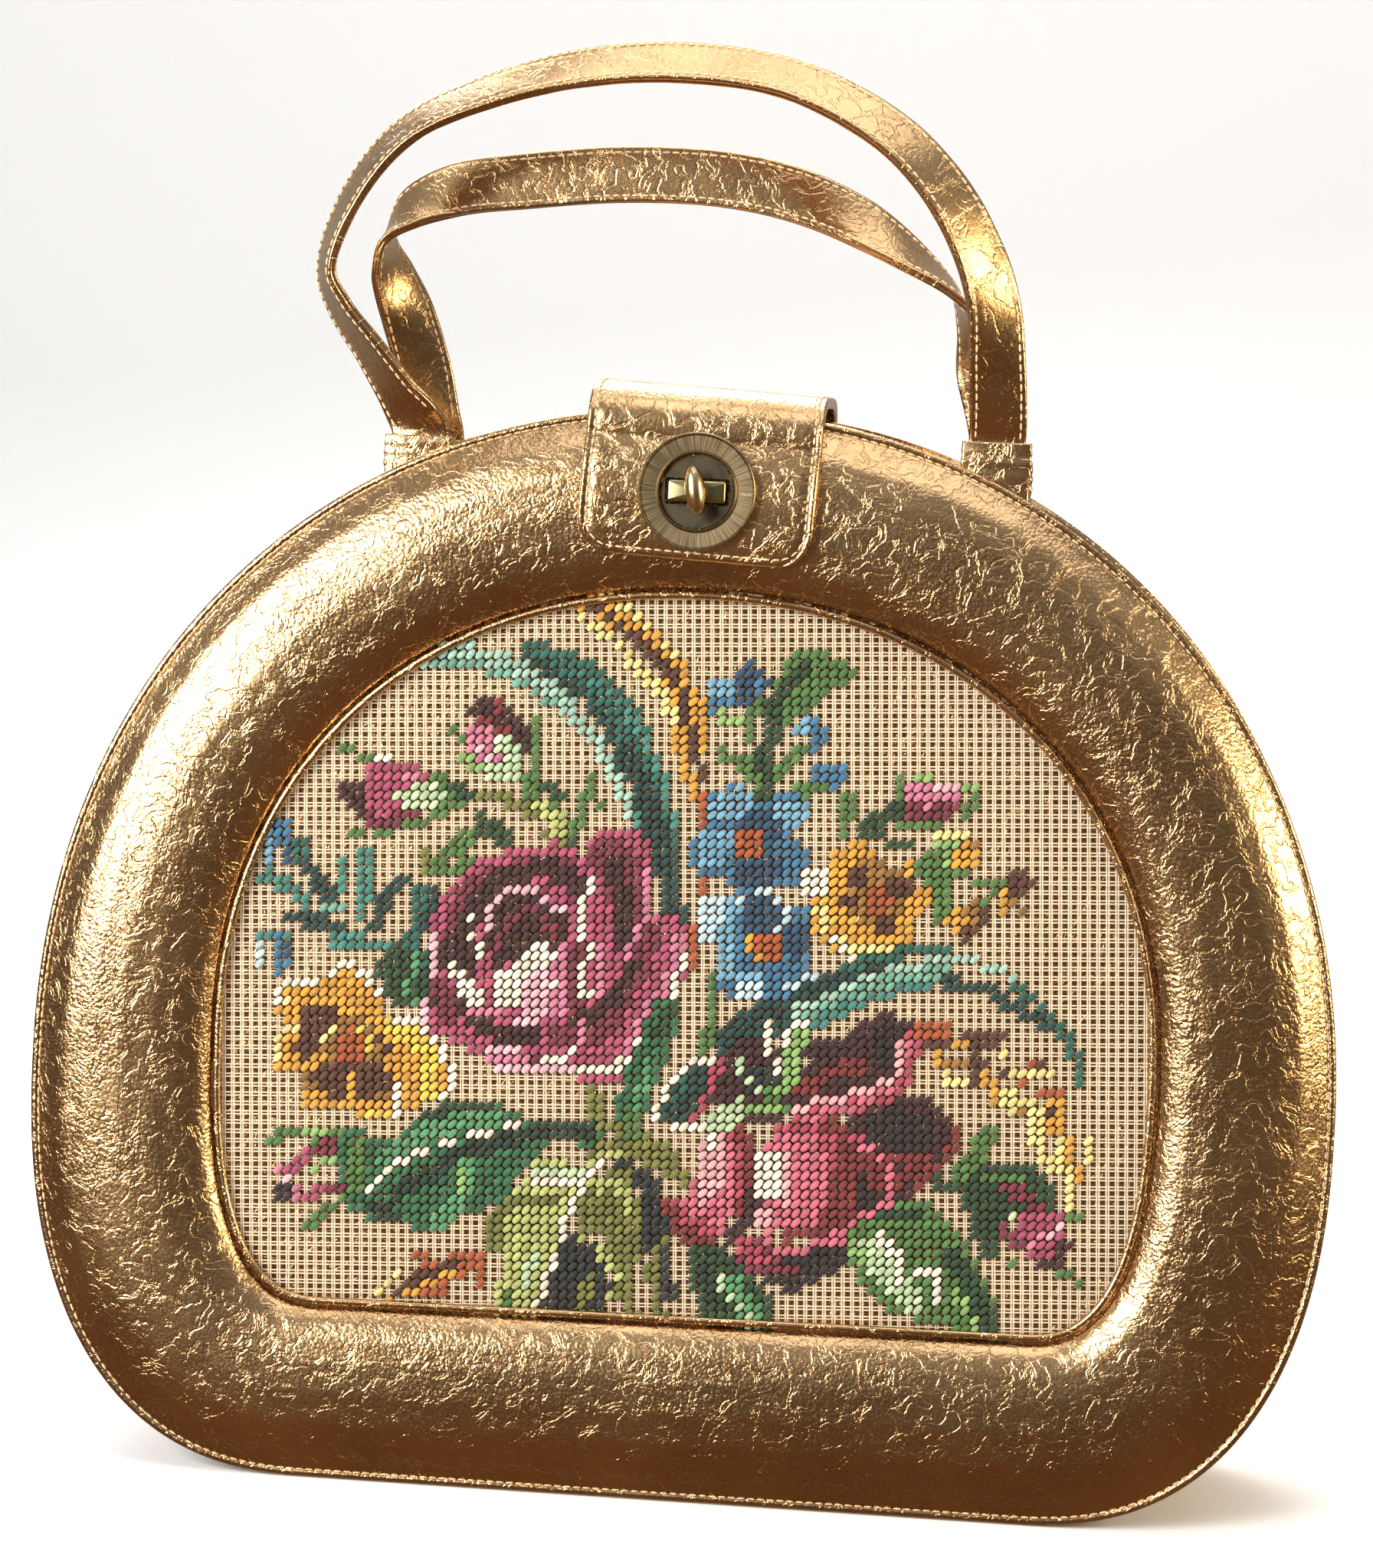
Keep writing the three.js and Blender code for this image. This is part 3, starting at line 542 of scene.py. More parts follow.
def row_tree():
    """A tree that lays a unit along lines at an even pitch and joins the copies."""
    made, given, unit = start_tree("sewn_row", "Lines", ["Pitch"])
    lines = node(made, "GeometryNodeMeshToCurve", {"Mesh": given["Lines"]})
    spaced = node(made, "GeometryNodeResampleCurve", {"Curve": lines.outputs[0], "Length": given["Pitch"]},
                  mode="LENGTH")
    tangent = node(made, "GeometryNodeInputTangent")
    turn = node(made, "FunctionNodeAlignRotationToVector", {"Vector": tangent.outputs[0]}, axis="X")
    placed = node(made, "GeometryNodeInstanceOnPoints", {
        "Points": spaced.outputs[0], "Instance": unit.outputs["Geometry"], "Rotation": turn.outputs[0]})
    return end_tree(made, given, placed)


def keep_result(made):
    """The object's evaluated mesh put in place of its modifiers."""
    shape = bpy.data.meshes.new_from_object(made.evaluated_get(bpy.context.evaluated_depsgraph_get()))
    made.modifiers.clear()
    made.data = shape


def run_tree(made, tree, values):
    """A tree run on an object with its inputs set, and its result kept as a plain mesh."""
    modifier = made.modifiers.new(tree.name, "NODES")
    modifier.node_group = tree
    for item in tree.interface.items_tree:
        if item.in_out == "INPUT" and item.name in values:
            modifier[item.identifier] = values[item.name]
    keep_result(made)
    made.data.shade_smooth()


def thread_material():
    """Sewing thread, paler than the leather, with a soft shine."""
    material, tree, shader = new_material("sewing_thread")
    start = node(tree, "ShaderNodeTexCoord").outputs["Object"]
    twist = node(tree, "ShaderNodeTexNoise", {"Vector": start, "Scale": 2200, "Detail": 2})
    dark_thread = (0.42, 0.28, 0.13, 1)
    pale_thread = (0.80, 0.62, 0.38, 1)
    tone = mix_colours(tree, between(tree, twist.outputs[0], 0.35, 0.65), dark_thread, pale_thread)
    set_inputs(shader, {"Base Color": tone, "Roughness": 0.45})
    return material


sewing_thread = thread_material()
sewn_row = row_tree()


def sewn_rows(name, lines, closed=False):
    """Rows of stitches along lines given in metres."""
    points = np.concatenate(lines)
    edges = []
    first = 0
    for line in lines:
        edges += [(first + i, first + i + 1) for i in range(len(line) - 1)]
        if closed:
            edges.append((first + len(line) - 1, first))
        first += len(line)
    mesh = bpy.data.meshes.new(name)
    mesh.from_pydata([tuple(point) for point in points], edges, [])
    made = bpy.data.objects.new(name, mesh)
    scene.collection.objects.link(made)
    unit = stitch_unit("sewn_unit", **sewn_stitch)
    run_tree(made, sewn_row, {"Unit": unit, "Finish": sewing_thread, "Pitch": sewn_pitch * millimetre})
    bpy.data.objects.remove(unit)
    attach(made, "bag")
    return made


sewn_stations = 700
sewn_walk = np.linspace(0, panel_walk[-1], sewn_stations, endpoint=False)
for name, side in (("front_pad_stitches", -1), ("back_pad_stitches", 1)):
    sewn_rows(name, [pad_loop(side, sewn_walk, sewn_share)], closed=True)


# Window rim: a thin rolled bead of the same leather, laid between the pad and the canvas and
# held by the pad's roll.
rim_width = 2.2
rim_height = 2.2
canvas_thickness = 2.0
rim_sides = 12
rim_stations = 520


def inset_line(loop, distance):
    """A closed loop moved inwards."""
    along = np.roll(loop, -1, axis=0) - np.roll(loop, 1, axis=0)
    along /= np.linalg.norm(along, axis=1, keepdims=True)
    return loop + np.stack([-along[:, 1], along[:, 0]], axis=1) * distance


window_walk = walked_round(window_loop)
rim_walk = np.linspace(0, window_walk[-1], rim_stations, endpoint=False)
rim_line = taken_along(window_loop, window_walk, rim_walk)
rim_loops = []
for i in range(rim_sides):
    angle = 2 * math.pi * i / rim_sides
    inset = seat_gap + rim_width / 2 * (1 + math.cos(angle))
    out = 2 * seat_gap + canvas_thickness + rim_height / 2 * (1 + math.sin(angle))
    line = inset_line(rim_line, inset)
    rim_loops.append(on_bag(line[:, 0], line[:, 1], out))
rim = solid_from_loops("window_rim_bead", np.array(rim_loops), "joined")
rim_round = np.arange(rim_sides)[:, None] * math.pi * rim_width / rim_sides + 0 * rim_walk
lay_uv(rim, rim_walk * millimetre + 0 * rim_round, rim_round * millimetre)
rim.data.materials.append(foil_material("rim_foil", crackle_depth=0.00004, darker=0.1))
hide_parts("window_rim")
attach(rim, "bag")


# Canvas: an open cotton canvas with its threads in pairs, ten pairs to the inch, stretched behind
# the window. The gold board behind it shows through the holes.
pair_pitch = 2.54
column_turn = 0.123
row_turn = 0.1185
row_pitch = 2.5635
chart_left = -139.7
chart_top = 248.3
chart_columns = 106
chart_rows = 86
canvas_front = seat_gap + canvas_thickness
thread_depth = 0.45
thread_lean = math.radians(2.7)
warp_pair = {"offsets": (-0.32, 0.32), "radius": 0.25, "crossing": 0.06, "between_pairs": -0.09,
             "upright": True}
weft_pair = {"offsets": (-0.42, 0.42), "radius": 0.23, "crossing": -0.04, "between_pairs": 0.09,
             "upright": False}

panel_matrix = Matrix((
    (1, 0, 0, 0),
    (0, math.sin(panel_lean), -math.cos(panel_lean), -foot_half_depth * millimetre),
    (0, math.cos(panel_lean), math.sin(panel_lean), 0),
    (0, 0, 0, 1),
))


def inside(loop, points):
    """Which points lie inside a closed loop."""
    x, y = points[:, 0], points[:, 1]
    found = np.zeros(len(points), dtype=bool)
    for (ax, ay), (bx, by) in zip(loop, np.roll(loop, -1, axis=0)):
        crosses = (ay > y) != (by > y)
        if crosses.any():
            at = ax + (y - ay) * (bx - ax) / (by - ay if by != ay else 1)
            found ^= crosses & (x < at)
    return found


grid_columns, grid_rows = np.meshgrid(np.arange(chart_columns) + 0.5, np.arange(chart_rows) + 0.5)
cell_x = chart_left + pair_pitch * grid_columns + column_turn * grid_rows
cell_up = chart_top + row_turn * grid_columns - row_pitch * grid_rows
canvas_edge = inset_line(rim_line, seat_gap)
in_window = inside(canvas_edge, np.column_stack([cell_x.ravel(), cell_up.ravel()])).reshape(cell_x.shape)


def repeat_tree():
    """A tree that sets a unit on every point, a little unevenly, and joins the copies."""
    made, given, unit = start_tree("set_on_points", "Points", ["Lean", "Uneven Turn", "Uneven Size"])
    low_turn = calculate(made, "SUBTRACT", given["Lean"], given["Uneven Turn"])
    high_turn = calculate(made, "ADD", given["Lean"], given["Uneven Turn"])
    turn = node(made, "FunctionNodeRandomValue", {2: low_turn, 3: high_turn, "Seed": 3})
    rotation = node(made, "ShaderNodeCombineXYZ", {"Z": turn.outputs[1]})
    small = calculate(made, "SUBTRACT", 1, given["Uneven Size"])
    large = calculate(made, "ADD", 1, given["Uneven Size"])
    size = node(made, "FunctionNodeRandomValue", {2: small, 3: large, "Seed": 8})
    placed = node(made, "GeometryNodeInstanceOnPoints", {
        "Points": given["Points"], "Instance": unit.outputs["Geometry"],
        "Rotation": rotation.outputs[0], "Scale": size.outputs[1]})
    shade = node(made, "FunctionNodeRandomValue", {2: 0.0, 3: 1.0, "Seed": 5})
    stored = node(made, "GeometryNodeStoreNamedAttribute", {
        "Geometry": placed.outputs[0], "Name": "shade", "Value": shade.outputs[1]},
        data_type="FLOAT", domain="INSTANCE")
    return end_tree(made, given, stored)


set_on_points = repeat_tree()


def thread_unit(name, offsets, radius, crossing, between_pairs, upright):
    """A pair of threads across one cell, bent over or under the pair that they cross."""
    points = []
    faces = []
    spins = [(1, 0), (0, 1), (-1, 0), (0, -1)]
    half = pair_pitch / 2 + 0.02
    for offset in offsets:
        first = len(points)
        for along, out in ((-half, between_pairs), (0.0, crossing), (half, between_pairs)):
            for sideways, outwards in spins:
                a, b = offset + sideways * radius, along
                points.append((a, b, out + outwards * radius) if upright else (b, a, out + outwards * radius))
        for step in range(2):
            for k in range(4):
                a = first + 4 * step + k
                b = first + 4 * step + (k + 1) % 4
                face = (a, b, b + 4, a + 4)
                faces.append(face[::-1] if upright else face)
    return new_object(name, np.array(points) * millimetre, faces)


def canvas_material():
    """Unbleached cotton thread, with its twist and a faint shine."""
    material, tree, shader = new_material("cotton_thread")
    start = node(tree, "ShaderNodeTexCoord").outputs["Object"]
    fuzz = node(tree, "ShaderNodeTexNoise", {"Vector": start, "Scale": 1900, "Detail": 2})
    patch = node(tree, "ShaderNodeTexNoise", {"Vector": start, "Scale": 14, "Detail": 2})
    shade = node(tree, "ShaderNodeAttribute", attribute_name="shade").outputs["Fac"]
    sand = (0.50, 0.38, 0.25, 1)
    straw = (0.62, 0.50, 0.34, 1)
    tan = (0.44, 0.31, 0.19, 1)
    lint = (0.70, 0.62, 0.48, 1)
    plain = mix_colours(tree, patch.outputs[0], sand, straw)
    mixed = mix_colours(tree, between(tree, shade, 0, 1, 0, 0.25), plain, tan)
    tone = mix_colours(tree, between(tree, fuzz.outputs[0], 0.35, 0.7, 0, 0.35), mixed, lint)
    set_inputs(shader, {"Base Color": tone, "Roughness": 0.5, "Specular IOR Level": 0.6,
                        "Normal": bump(tree, fuzz.outputs[0], 0.00012)})
    return material


cotton_thread = canvas_material()


def point_object(name, mask, out):
    """A mesh of bare points at the chosen cells, in the panel's own frame, in metres."""
    places = np.column_stack([cell_x[mask], cell_up[mask], np.full(mask.sum(), out)])
    return new_object(name, places * millimetre, [])


# Wool: tent stitches, one over each crossing of the canvas and all slanted the same way. The
# flowers are drawn on a chart with 15 units to a stitch, and later shapes cover earlier ones.
chart_unit = 15
wool_shades = {
    "maroon": (60, 24, 30), "burgundy": (116, 36, 58), "crimson": (118, 32, 36), "rose": (164, 66, 98),
    "pink": (196, 112, 140), "pale_pink": (224, 172, 184), "cream": (228, 220, 202),
    "red_pink": (168, 60, 82), "coral": (198, 96, 116), "pale_coral": (222, 160, 164),
    "pale_yellow": (224, 208, 132), "yellow": (220, 186, 66), "golden": (208, 148, 44),
    "brown_gold": (142, 98, 34), "dark_brown": (84, 46, 30), "rust": (162, 74, 30),
    "dark_green": (28, 66, 38), "mid_green": (72, 114, 52), "green": (36, 98, 60),
    "leaf_green": (76, 140, 92), "light_green": (130, 170, 96), "pale_green": (178, 202, 158),
    "olive": (108, 112, 46), "pale_olive": (170, 178, 102), "deep_green": (20, 54, 40),
    "deep_teal": (14, 60, 56), "teal": (24, 92, 80), "mid_teal": (54, 122, 110),
    "light_teal": (104, 158, 138), "pale_teal": (152, 188, 170), "pale_blue": (182, 208, 218),
    "light_blue": (106, 158, 184), "blue": (52, 108, 142), "deep_blue": (28, 68, 98),
    "black": (36, 26, 32), "black_green": (26, 38, 42),
}
shade_names = list(wool_shades)
chart = np.full((chart_rows, chart_columns), -1)
cell_points = np.column_stack([grid_columns.ravel(), grid_rows.ravel()]) * chart_unit


def curved(points, closed, steps=8):
    """A smooth line through points."""
    points = np.array(points, dtype=float)
    if closed:
        wrapped = np.concatenate([points[-1:], points, points[:2]])
        return np.concatenate([curve_piece(*wrapped[i:i + 4], steps) for i in range(len(points))])
    if len(points) == 2:
        return points
    padded = np.concatenate([2 * points[:1] - points[1:2], points, 2 * points[-1:] - points[-2:-1]])
    pieces = [curve_piece(*padded[i:i + 4], steps) for i in range(len(points) - 1)]
    return np.concatenate(pieces + [points[-1:]])


def curve_piece(before, start, end, after, steps):
    """One stretch of a smooth line, between its two middle points."""
    t = np.linspace(0, 1, steps, endpoint=False)[:, None]
    return 0.5 * (2 * start + (end - before) * t + (2 * before - 5 * start + 4 * end - after) * t ** 2
                  + (3 * start - before - 3 * end + after) * t ** 3)


def blot(shade, *points):
    """Fills the stitches inside a smooth outline."""
    chart[inside(curved(points, True), cell_points).reshape(chart.shape)] = shade_names.index(shade)


def stroke(shade, width, *points):
    """Works the stitches along a smooth line of some width."""
    line = curved(points, False)
    nearest = np.full(len(cell_points), np.inf)
    for start, end in zip(line[:-1], line[1:]):
        run = end - start
        share = np.clip((cell_points - start) @ run / max(run @ run, 1e-9), 0, 1)
        nearest = np.minimum(nearest, np.linalg.norm(cell_points - start - share[:, None] * run, axis=1))
    chart[(nearest <= width / 2).reshape(chart.shape)] = shade_names.index(shade)


def spot(shade, across, down, radius):
    """Works a round patch of stitches."""
    near = np.hypot(cell_points[:, 0] - across, cell_points[:, 1] - down) <= radius
    chart[near.reshape(chart.shape)] = shade_names.index(shade)


# The long blade at the top
stroke("teal", 56, (560, 150), (620, 172), (672, 205), (712, 260), (768, 440))
stroke("mid_teal", 14, (640, 172), (700, 222), (745, 290), (770, 350), (787, 410))
stroke("deep_teal", 36, (705, 300), (732, 350), (755, 410), (772, 470), (785, 540), (788, 575))
stroke("deep_teal", 16, (553, 148), (640, 208), (668, 247), (692, 292))
stroke("pale_teal", 34, (385, 148), (440, 142), (500, 152), (560, 184), (605, 214))
stroke("light_teal", 14, (400, 160), (500, 168), (560, 200), (610, 236))
stroke("pale_teal", 22, (605, 214), (640, 254), (668, 297), (720, 395))
stroke("mid_teal", 14, (720, 395), (742, 450))

# The ear of wheat at the top and its stalk
stroke("golden", 44, (655, 55), (745, 120), (780, 160), (800, 215), (812, 270))
stroke("pale_yellow", 18, (640, 88), (690, 120), (730, 165), (765, 200), (785, 250))
stroke("pale_yellow", 16, (668, 50), (715, 72), (755, 108), (795, 148))
stroke("golden", 16, (735, 110), (762, 120))
stroke("dark_brown", 15, (655, 60), (725, 118), (760, 150), (790, 185), (805, 230), (818, 285), (832, 335))
stroke("golden", 18, (788, 262), (800, 310), (818, 362))
stroke("golden", 16, (832, 225), (834, 290))
for top, bottom in (((833, 372), (833, 415)), ((833, 500), (832, 540)), ((822, 570), (812, 640))):
    stroke("rust", 15, top, bottom)

# The blue buds and the leaf beside the wheat
stroke("light_blue", 24, (842, 195), (880, 195))
stroke("blue", 22, (850, 222), (880, 220))
blot("deep_blue", (888, 165), (915, 158), (938, 180), (930, 215), (885, 215))
stroke("blue", 14, (925, 180), (925, 205))
stroke("light_green", 26, (862, 245), (905, 250))
blot("mid_green", (1085, 172), (1045, 148), (1005, 138), (965, 150), (932, 240), (962, 250), (1002, 230),
     (1045, 198))
stroke("dark_green", 24, (1000, 160), (965, 195), (950, 225))
stroke("dark_green", 30, (950, 220), (938, 280), (935, 380))
stroke("mid_green", 18, (925, 218), (905, 248), (905, 280))
stroke("mid_green", 22, (865, 303), (900, 315), (922, 345))
stroke("mid_green", 24, (988, 290), (950, 330))
stroke("mid_green", 26, (1018, 345), (985, 360))
stroke("light_blue", 18, (982, 260), (1000, 252))
blot("blue", (1005, 248), (1038, 252), (1040, 270), (1022, 292), (1000, 285))
blot("blue", (1012, 312), (1070, 325), (1062, 350), (1030, 352), (1012, 338))

# The upper blue flower
blot("blue", (841, 369), (867, 359), (894, 343), (930, 380), (952, 364), (994, 369), (973, 433), (994, 501),
     (952, 517), (878, 517), (873, 491), (825, 485), (815, 448), (825, 417), (846, 412))
blot("light_blue", (845, 372), (895, 348), (912, 368), (905, 395), (850, 400))
blot("light_blue", (955, 372), (995, 375), (995, 410), (965, 420), (950, 395))
blot("light_blue", (818, 440), (830, 418), (880, 415), (875, 450), (860, 482), (825, 480))
blot("deep_blue", (895, 395), (930, 385), (965, 440), (955, 490), (905, 515), (880, 480), (885, 430))
blot("blue", (955, 430), (1005, 452), (1005, 490), (960, 480))
blot("rust", (888, 424), (930, 422), (930, 462), (892, 464))

# The lower blue flower
blot("blue", (828, 530), (920, 518), (975, 540), (1005, 555), (990, 690), (880, 690), (860, 665),
     (860, 610), (830, 600))
blot("pale_blue", (830, 528), (898, 522), (895, 545), (860, 600), (832, 600))
stroke("light_blue", 27, (880, 545), (865, 650))
blot("deep_blue", (900, 530), (940, 530), (965, 560), (1000, 570), (1000, 620), (960, 620), (905, 600))
stroke("pale_blue", 14, (920, 522), (942, 520), (972, 562), (952, 572))
blot("light_blue", (930, 645), (920, 665), (865, 660))
blot("pale_blue", (878, 668), (930, 668), (925, 690), (895, 692))
stroke("pale_blue", 20, (975, 672), (1010, 655))
blot("golden", (905, 585), (930, 625), (908, 615))
blot("rust", (918, 585), (955, 588), (958, 620), (930, 628))

# The right pansy
blot("golden", (1028, 480), (1045, 450), (1080, 438), (1112, 455), (1130, 478), (1165, 472), (1172, 500),
     (1195, 515), (1192, 545), (1170, 562), (1176, 602), (1150, 624), (1058, 616), (1010, 575), (1010, 530))
spot("brown_gold", 1108, 518, 50)
spot("dark_brown", 1080, 488, 17)
spot("dark_brown", 1147, 510, 18)
spot("dark_brown", 1118, 570, 17)
spot("dark_brown", 1066, 532, 11)
spot("rust", 1112, 530, 22)
blot("cream", (993, 490), (1036, 478), (1038, 506), (1012, 532), (994, 522))
stroke("pale_yellow", 20, (1020, 545), (1030, 578), (1056, 602), (1100, 612), (1150, 612))
stroke("cream", 12, (1042, 592), (1068, 616), (1098, 620))
stroke("yellow", 14, (1030, 530), (1040, 565))

# The right rosebud
stroke("mid_green", 30, (1150, 348), (1150, 398))
stroke("light_green", 14, (1172, 332), (1202, 333))
blot("pink", (1163, 345), (1238, 352), (1232, 382), (1166, 378))
stroke("pale_pink", 14, (1205, 353), (1240, 353))
stroke("burgundy", 22, (1168, 392), (1205, 395), (1228, 378))
stroke("mid_green", 18, (1264, 370), (1255, 390))
stroke("light_green", 13, (1246, 352), (1266, 352))
stroke("mid_green", 18, (1150, 410), (1205, 412))
stroke("dark_green", 24, (1148, 388), (1115, 402), (1085, 425))
stroke("mid_green", 18, (1066, 370), (1062, 420))
stroke("dark_green", 16, (1095, 432), (1156, 438))

# The three buds at the right
stroke("light_green", 30, (1225, 432), (1215, 470))
stroke("pale_yellow", 14, (1214, 430), (1246, 426))
spot("golden", 1252, 462, 21)
stroke("brown_gold", 14, (1270, 440), (1276, 462))
stroke("mid_green", 26, (1200, 462), (1186, 482), (1215, 506), (1215, 552))
stroke("mid_green", 16, (1225, 492), (1290, 498), (1310, 505))
stroke("mid_green", 16, (1268, 532), (1300, 520))
spot("dark_brown", 1338, 503, 24)
spot("golden", 1316, 533, 18)
stroke("brown_gold", 16, (1334, 536), (1346, 546))
spot("brown_gold", 1262, 548, 17)
spot("golden", 1238, 563, 17)
stroke("dark_brown", 18, (1250, 584), (1284, 563), (1288, 548))

# The upper rosebud
stroke("mid_green", 26, (562, 255), (564, 300), (556, 348))
stroke("maroon", 30, (468, 230), (505, 233), (530, 256), (536, 288))
spot("crimson", 497, 224, 11)
stroke("crimson", 13, (470, 252), (495, 252), (517, 270))
blot("pink", (450, 256), (488, 262), (506, 300), (502, 320), (470, 318), (454, 292))
blot("pale_green", (502, 270), (536, 296), (542, 348), (500, 348), (474, 326), (502, 312))
stroke("pale_pink", 13, (476, 296), (495, 312))
spot("cream", 506, 272, 10)
stroke("light_green", 16, (440, 305), (465, 322))
stroke("mid_green", 14, (416, 255), (436, 276))

# The left rosebud
blot("mid_green", (392, 328), (452, 360), (446, 382), (412, 402), (376, 422), (300, 428), (288, 412),
     (360, 410), (400, 386))
blot("rose", (288, 320), (380, 325), (386, 360), (332, 402), (288, 402))
stroke("pink", 12, (345, 330), (375, 345))
spot("maroon", 263, 366, 21)
stroke("maroon", 16, (262, 382), (286, 396))
stroke("burgundy", 18, (290, 404), (330, 409), (362, 394))
stroke("cream", 12, (308, 312), (360, 316))
blot("pale_green", (334, 358), (380, 350), (414, 355), (406, 386), (340, 382))
stroke("dark_green", 16, (420, 346), (450, 366))
stroke("mid_green", 15, (240, 284), (270, 301))
spot("mid_green", 285, 314, 10)
stroke("mid_green", 14, (254, 434), (286, 422))

# The sprays above the big rose
stroke("mid_green", 28, (545, 346), (560, 376), (590, 396))
stroke("olive", 20, (480, 362), (520, 378), (560, 402))
stroke("pale_olive", 20, (570, 382), (600, 402), (600, 436))
stroke("dark_green", 16, (580, 346), (600, 366))
stroke("mid_green", 20, (656, 345), (625, 422))
stroke("mid_green", 14, (640, 370), (670, 376))
stroke("dark_green", 24, (470, 406), (500, 422), (515, 452))
stroke("dark_green", 16, (440, 426), (490, 432))
stroke("mid_green", 26, (455, 432), (425, 456), (400, 482))
stroke("mid_green", 20, (435, 482), (452, 466))
stroke("olive", 16, (386, 450), (380, 492))
stroke("dark_green", 14, (620, 440), (622, 462))
stroke("olive", 14, (575, 432), (610, 438))

# The teal sprigs and blue buds at the left
stroke("light_blue", 20, (132, 425), (130, 466))
stroke("blue", 26, (152, 420), (158, 470))
stroke("deep_blue", 13, (163, 455), (163, 480))
stroke("teal", 26, (182, 442), (186, 482))
stroke("deep_teal", 26, (190, 482), (228, 532))
stroke("mid_teal", 22, (120, 496), (160, 516), (190, 546))
stroke("mid_teal", 24, (288, 455), (278, 562))
stroke("mid_teal", 18, (252, 480), (252, 516))
stroke("deep_teal", 22, (346, 505), (315, 540), (300, 576))
stroke("teal", 28, (370, 522), (370, 570), (360, 602))
stroke("deep_teal", 18, (396, 522), (386, 582))
stroke("light_teal", 14, (214, 541), (256, 551))
stroke("deep_teal", 24, (160, 561), (200, 571), (246, 576))
stroke("mid_teal", 18, (120, 591), (166, 586))
stroke("mid_teal", 18, (225, 601), (280, 601), (336, 606))
stroke("pale_blue", 16, (112, 611), (120, 642))
stroke("blue", 26, (145, 601), (145, 646))
stroke("deep_blue", 13, (161, 601), (158, 622))
blot("dark_green", (303, 640), (325, 608), (380, 620), (396, 660), (376, 704), (350, 708), (318, 682))
stroke("leaf_green", 16, (366, 630), (356, 680), (366, 702))
stroke("teal", 14, (388, 640), (398, 660))

# The big rose: outer petals, the dark ring inside them, and the light heart
blot("rose", (394, 565), (450, 480), (492, 462), (550, 446), (600, 443), (626, 458), (642, 470), (656, 430),
     (737, 430), (757, 552), (790, 560), (812, 592), (806, 642), (790, 690), (710, 818), (608, 812),
     (470, 776), (438, 770), (398, 746), (378, 718), (408, 668))
blot("burgundy", (418, 560), (455, 500), (500, 482), (560, 462), (612, 462), (640, 500), (648, 540),
     (560, 520), (470, 560), (410, 630))
stroke("maroon", 34, (640, 525), (600, 490), (545, 492), (492, 512), (462, 556), (440, 612), (452, 650))
stroke("maroon", 22, (415, 615), (424, 640))
stroke("maroon", 26, (405, 688), (440, 708), (480, 738), (530, 748), (566, 748))
stroke("burgundy", 26, (400, 668), (420, 690), (418, 720))
blot("maroon", (490, 555), (520, 530), (580, 528), (630, 600), (540, 628), (500, 640), (486, 600))
for across, down in ((545, 550), (562, 552), (515, 562), (532, 562), (520, 578), (575, 570), (500, 592),
                     (505, 608), (592, 585)):
    spot("burgundy", across, down, 9)
stroke("rose", 15, (560, 502), (590, 512), (612, 530), (628, 590))
stroke("pale_pink", 13, (486, 576), (500, 532), (536, 516), (562, 522), (582, 540), (610, 556))
blot("burgundy", (612, 600), (636, 598), (640, 650), (640, 712), (612, 716), (616, 650))
blot("pink", (584, 618), (612, 606), (616, 660), (612, 710), (540, 724), (560, 690))
blot("cream", (560, 608), (590, 606), (592, 640), (586, 712), (530, 712), (498, 700), (498, 655),
     (524, 634))
blot("pale_pink", (545, 656), (580, 640), (586, 712), (540, 712), (534, 690))
stroke("pale_pink", 13, (528, 730), (566, 733))
stroke("rose", 14, (575, 722), (583, 752))
stroke("cream", 13, (653, 508), (638, 544), (638, 590))
blot("rose", (648, 532), (710, 575), (656, 600))
stroke("cream", 14, (654, 604), (640, 640), (640, 680), (655, 684))
stroke("pink", 16, (668, 610), (668, 690))
blot("burgundy", (645, 458), (706, 420), (738, 456), (744, 560), (692, 560), (668, 500))
stroke("rose", 16, (684, 424), (712, 432), (730, 462))
stroke("maroon", 30, (690, 480), (702, 530), (710, 600))
stroke("pink", 22, (742, 492), (742, 566))
stroke("pink", 14, (728, 582), (713, 628))
stroke("burgundy", 40, (752, 590), (680, 730), (656, 758))
stroke("maroon", 24, (722, 634), (704, 668), (684, 696), (652, 714), (628, 736))
stroke("rose", 28, (778, 590), (762, 650), (730, 704), (696, 756))
stroke("pink", 22, (796, 594), (784, 652), (752, 700), (728, 744), (700, 776))
stroke("cream", 13, (803, 622), (788, 664), (786, 684), (714, 782))
stroke("pink", 13, (640, 722), (640, 758))
stroke("burgundy", 22, (590, 752), (625, 752))
stroke("pale_pink", 15, (488, 772), (540, 772))
stroke("pink", 15, (484, 788), (545, 786))
stroke("burgundy", 13, (556, 780), (584, 786))
stroke("cream", 14, (562, 796), (625, 778))
stroke("pale_pink", 14, (500, 806), (618, 802))
stroke("cream", 14, (636, 808), (675, 804), (708, 790))
stroke("rose", 22, (650, 780), (690, 772))
for across, down in ((456, 569), (458, 586), (474, 603), (476, 620), (430, 645), (444, 660), (461, 663),
                     (445, 677), (459, 680), (476, 680), (462, 693), (479, 694)):
    spot("cream", across, down, 8)
stroke("pink", 14, (458, 708), (494, 708), (494, 724))
stroke("pale_pink", 12, (394, 590), (398, 650))
stroke("pale_pink", 12, (382, 700), (382, 730))

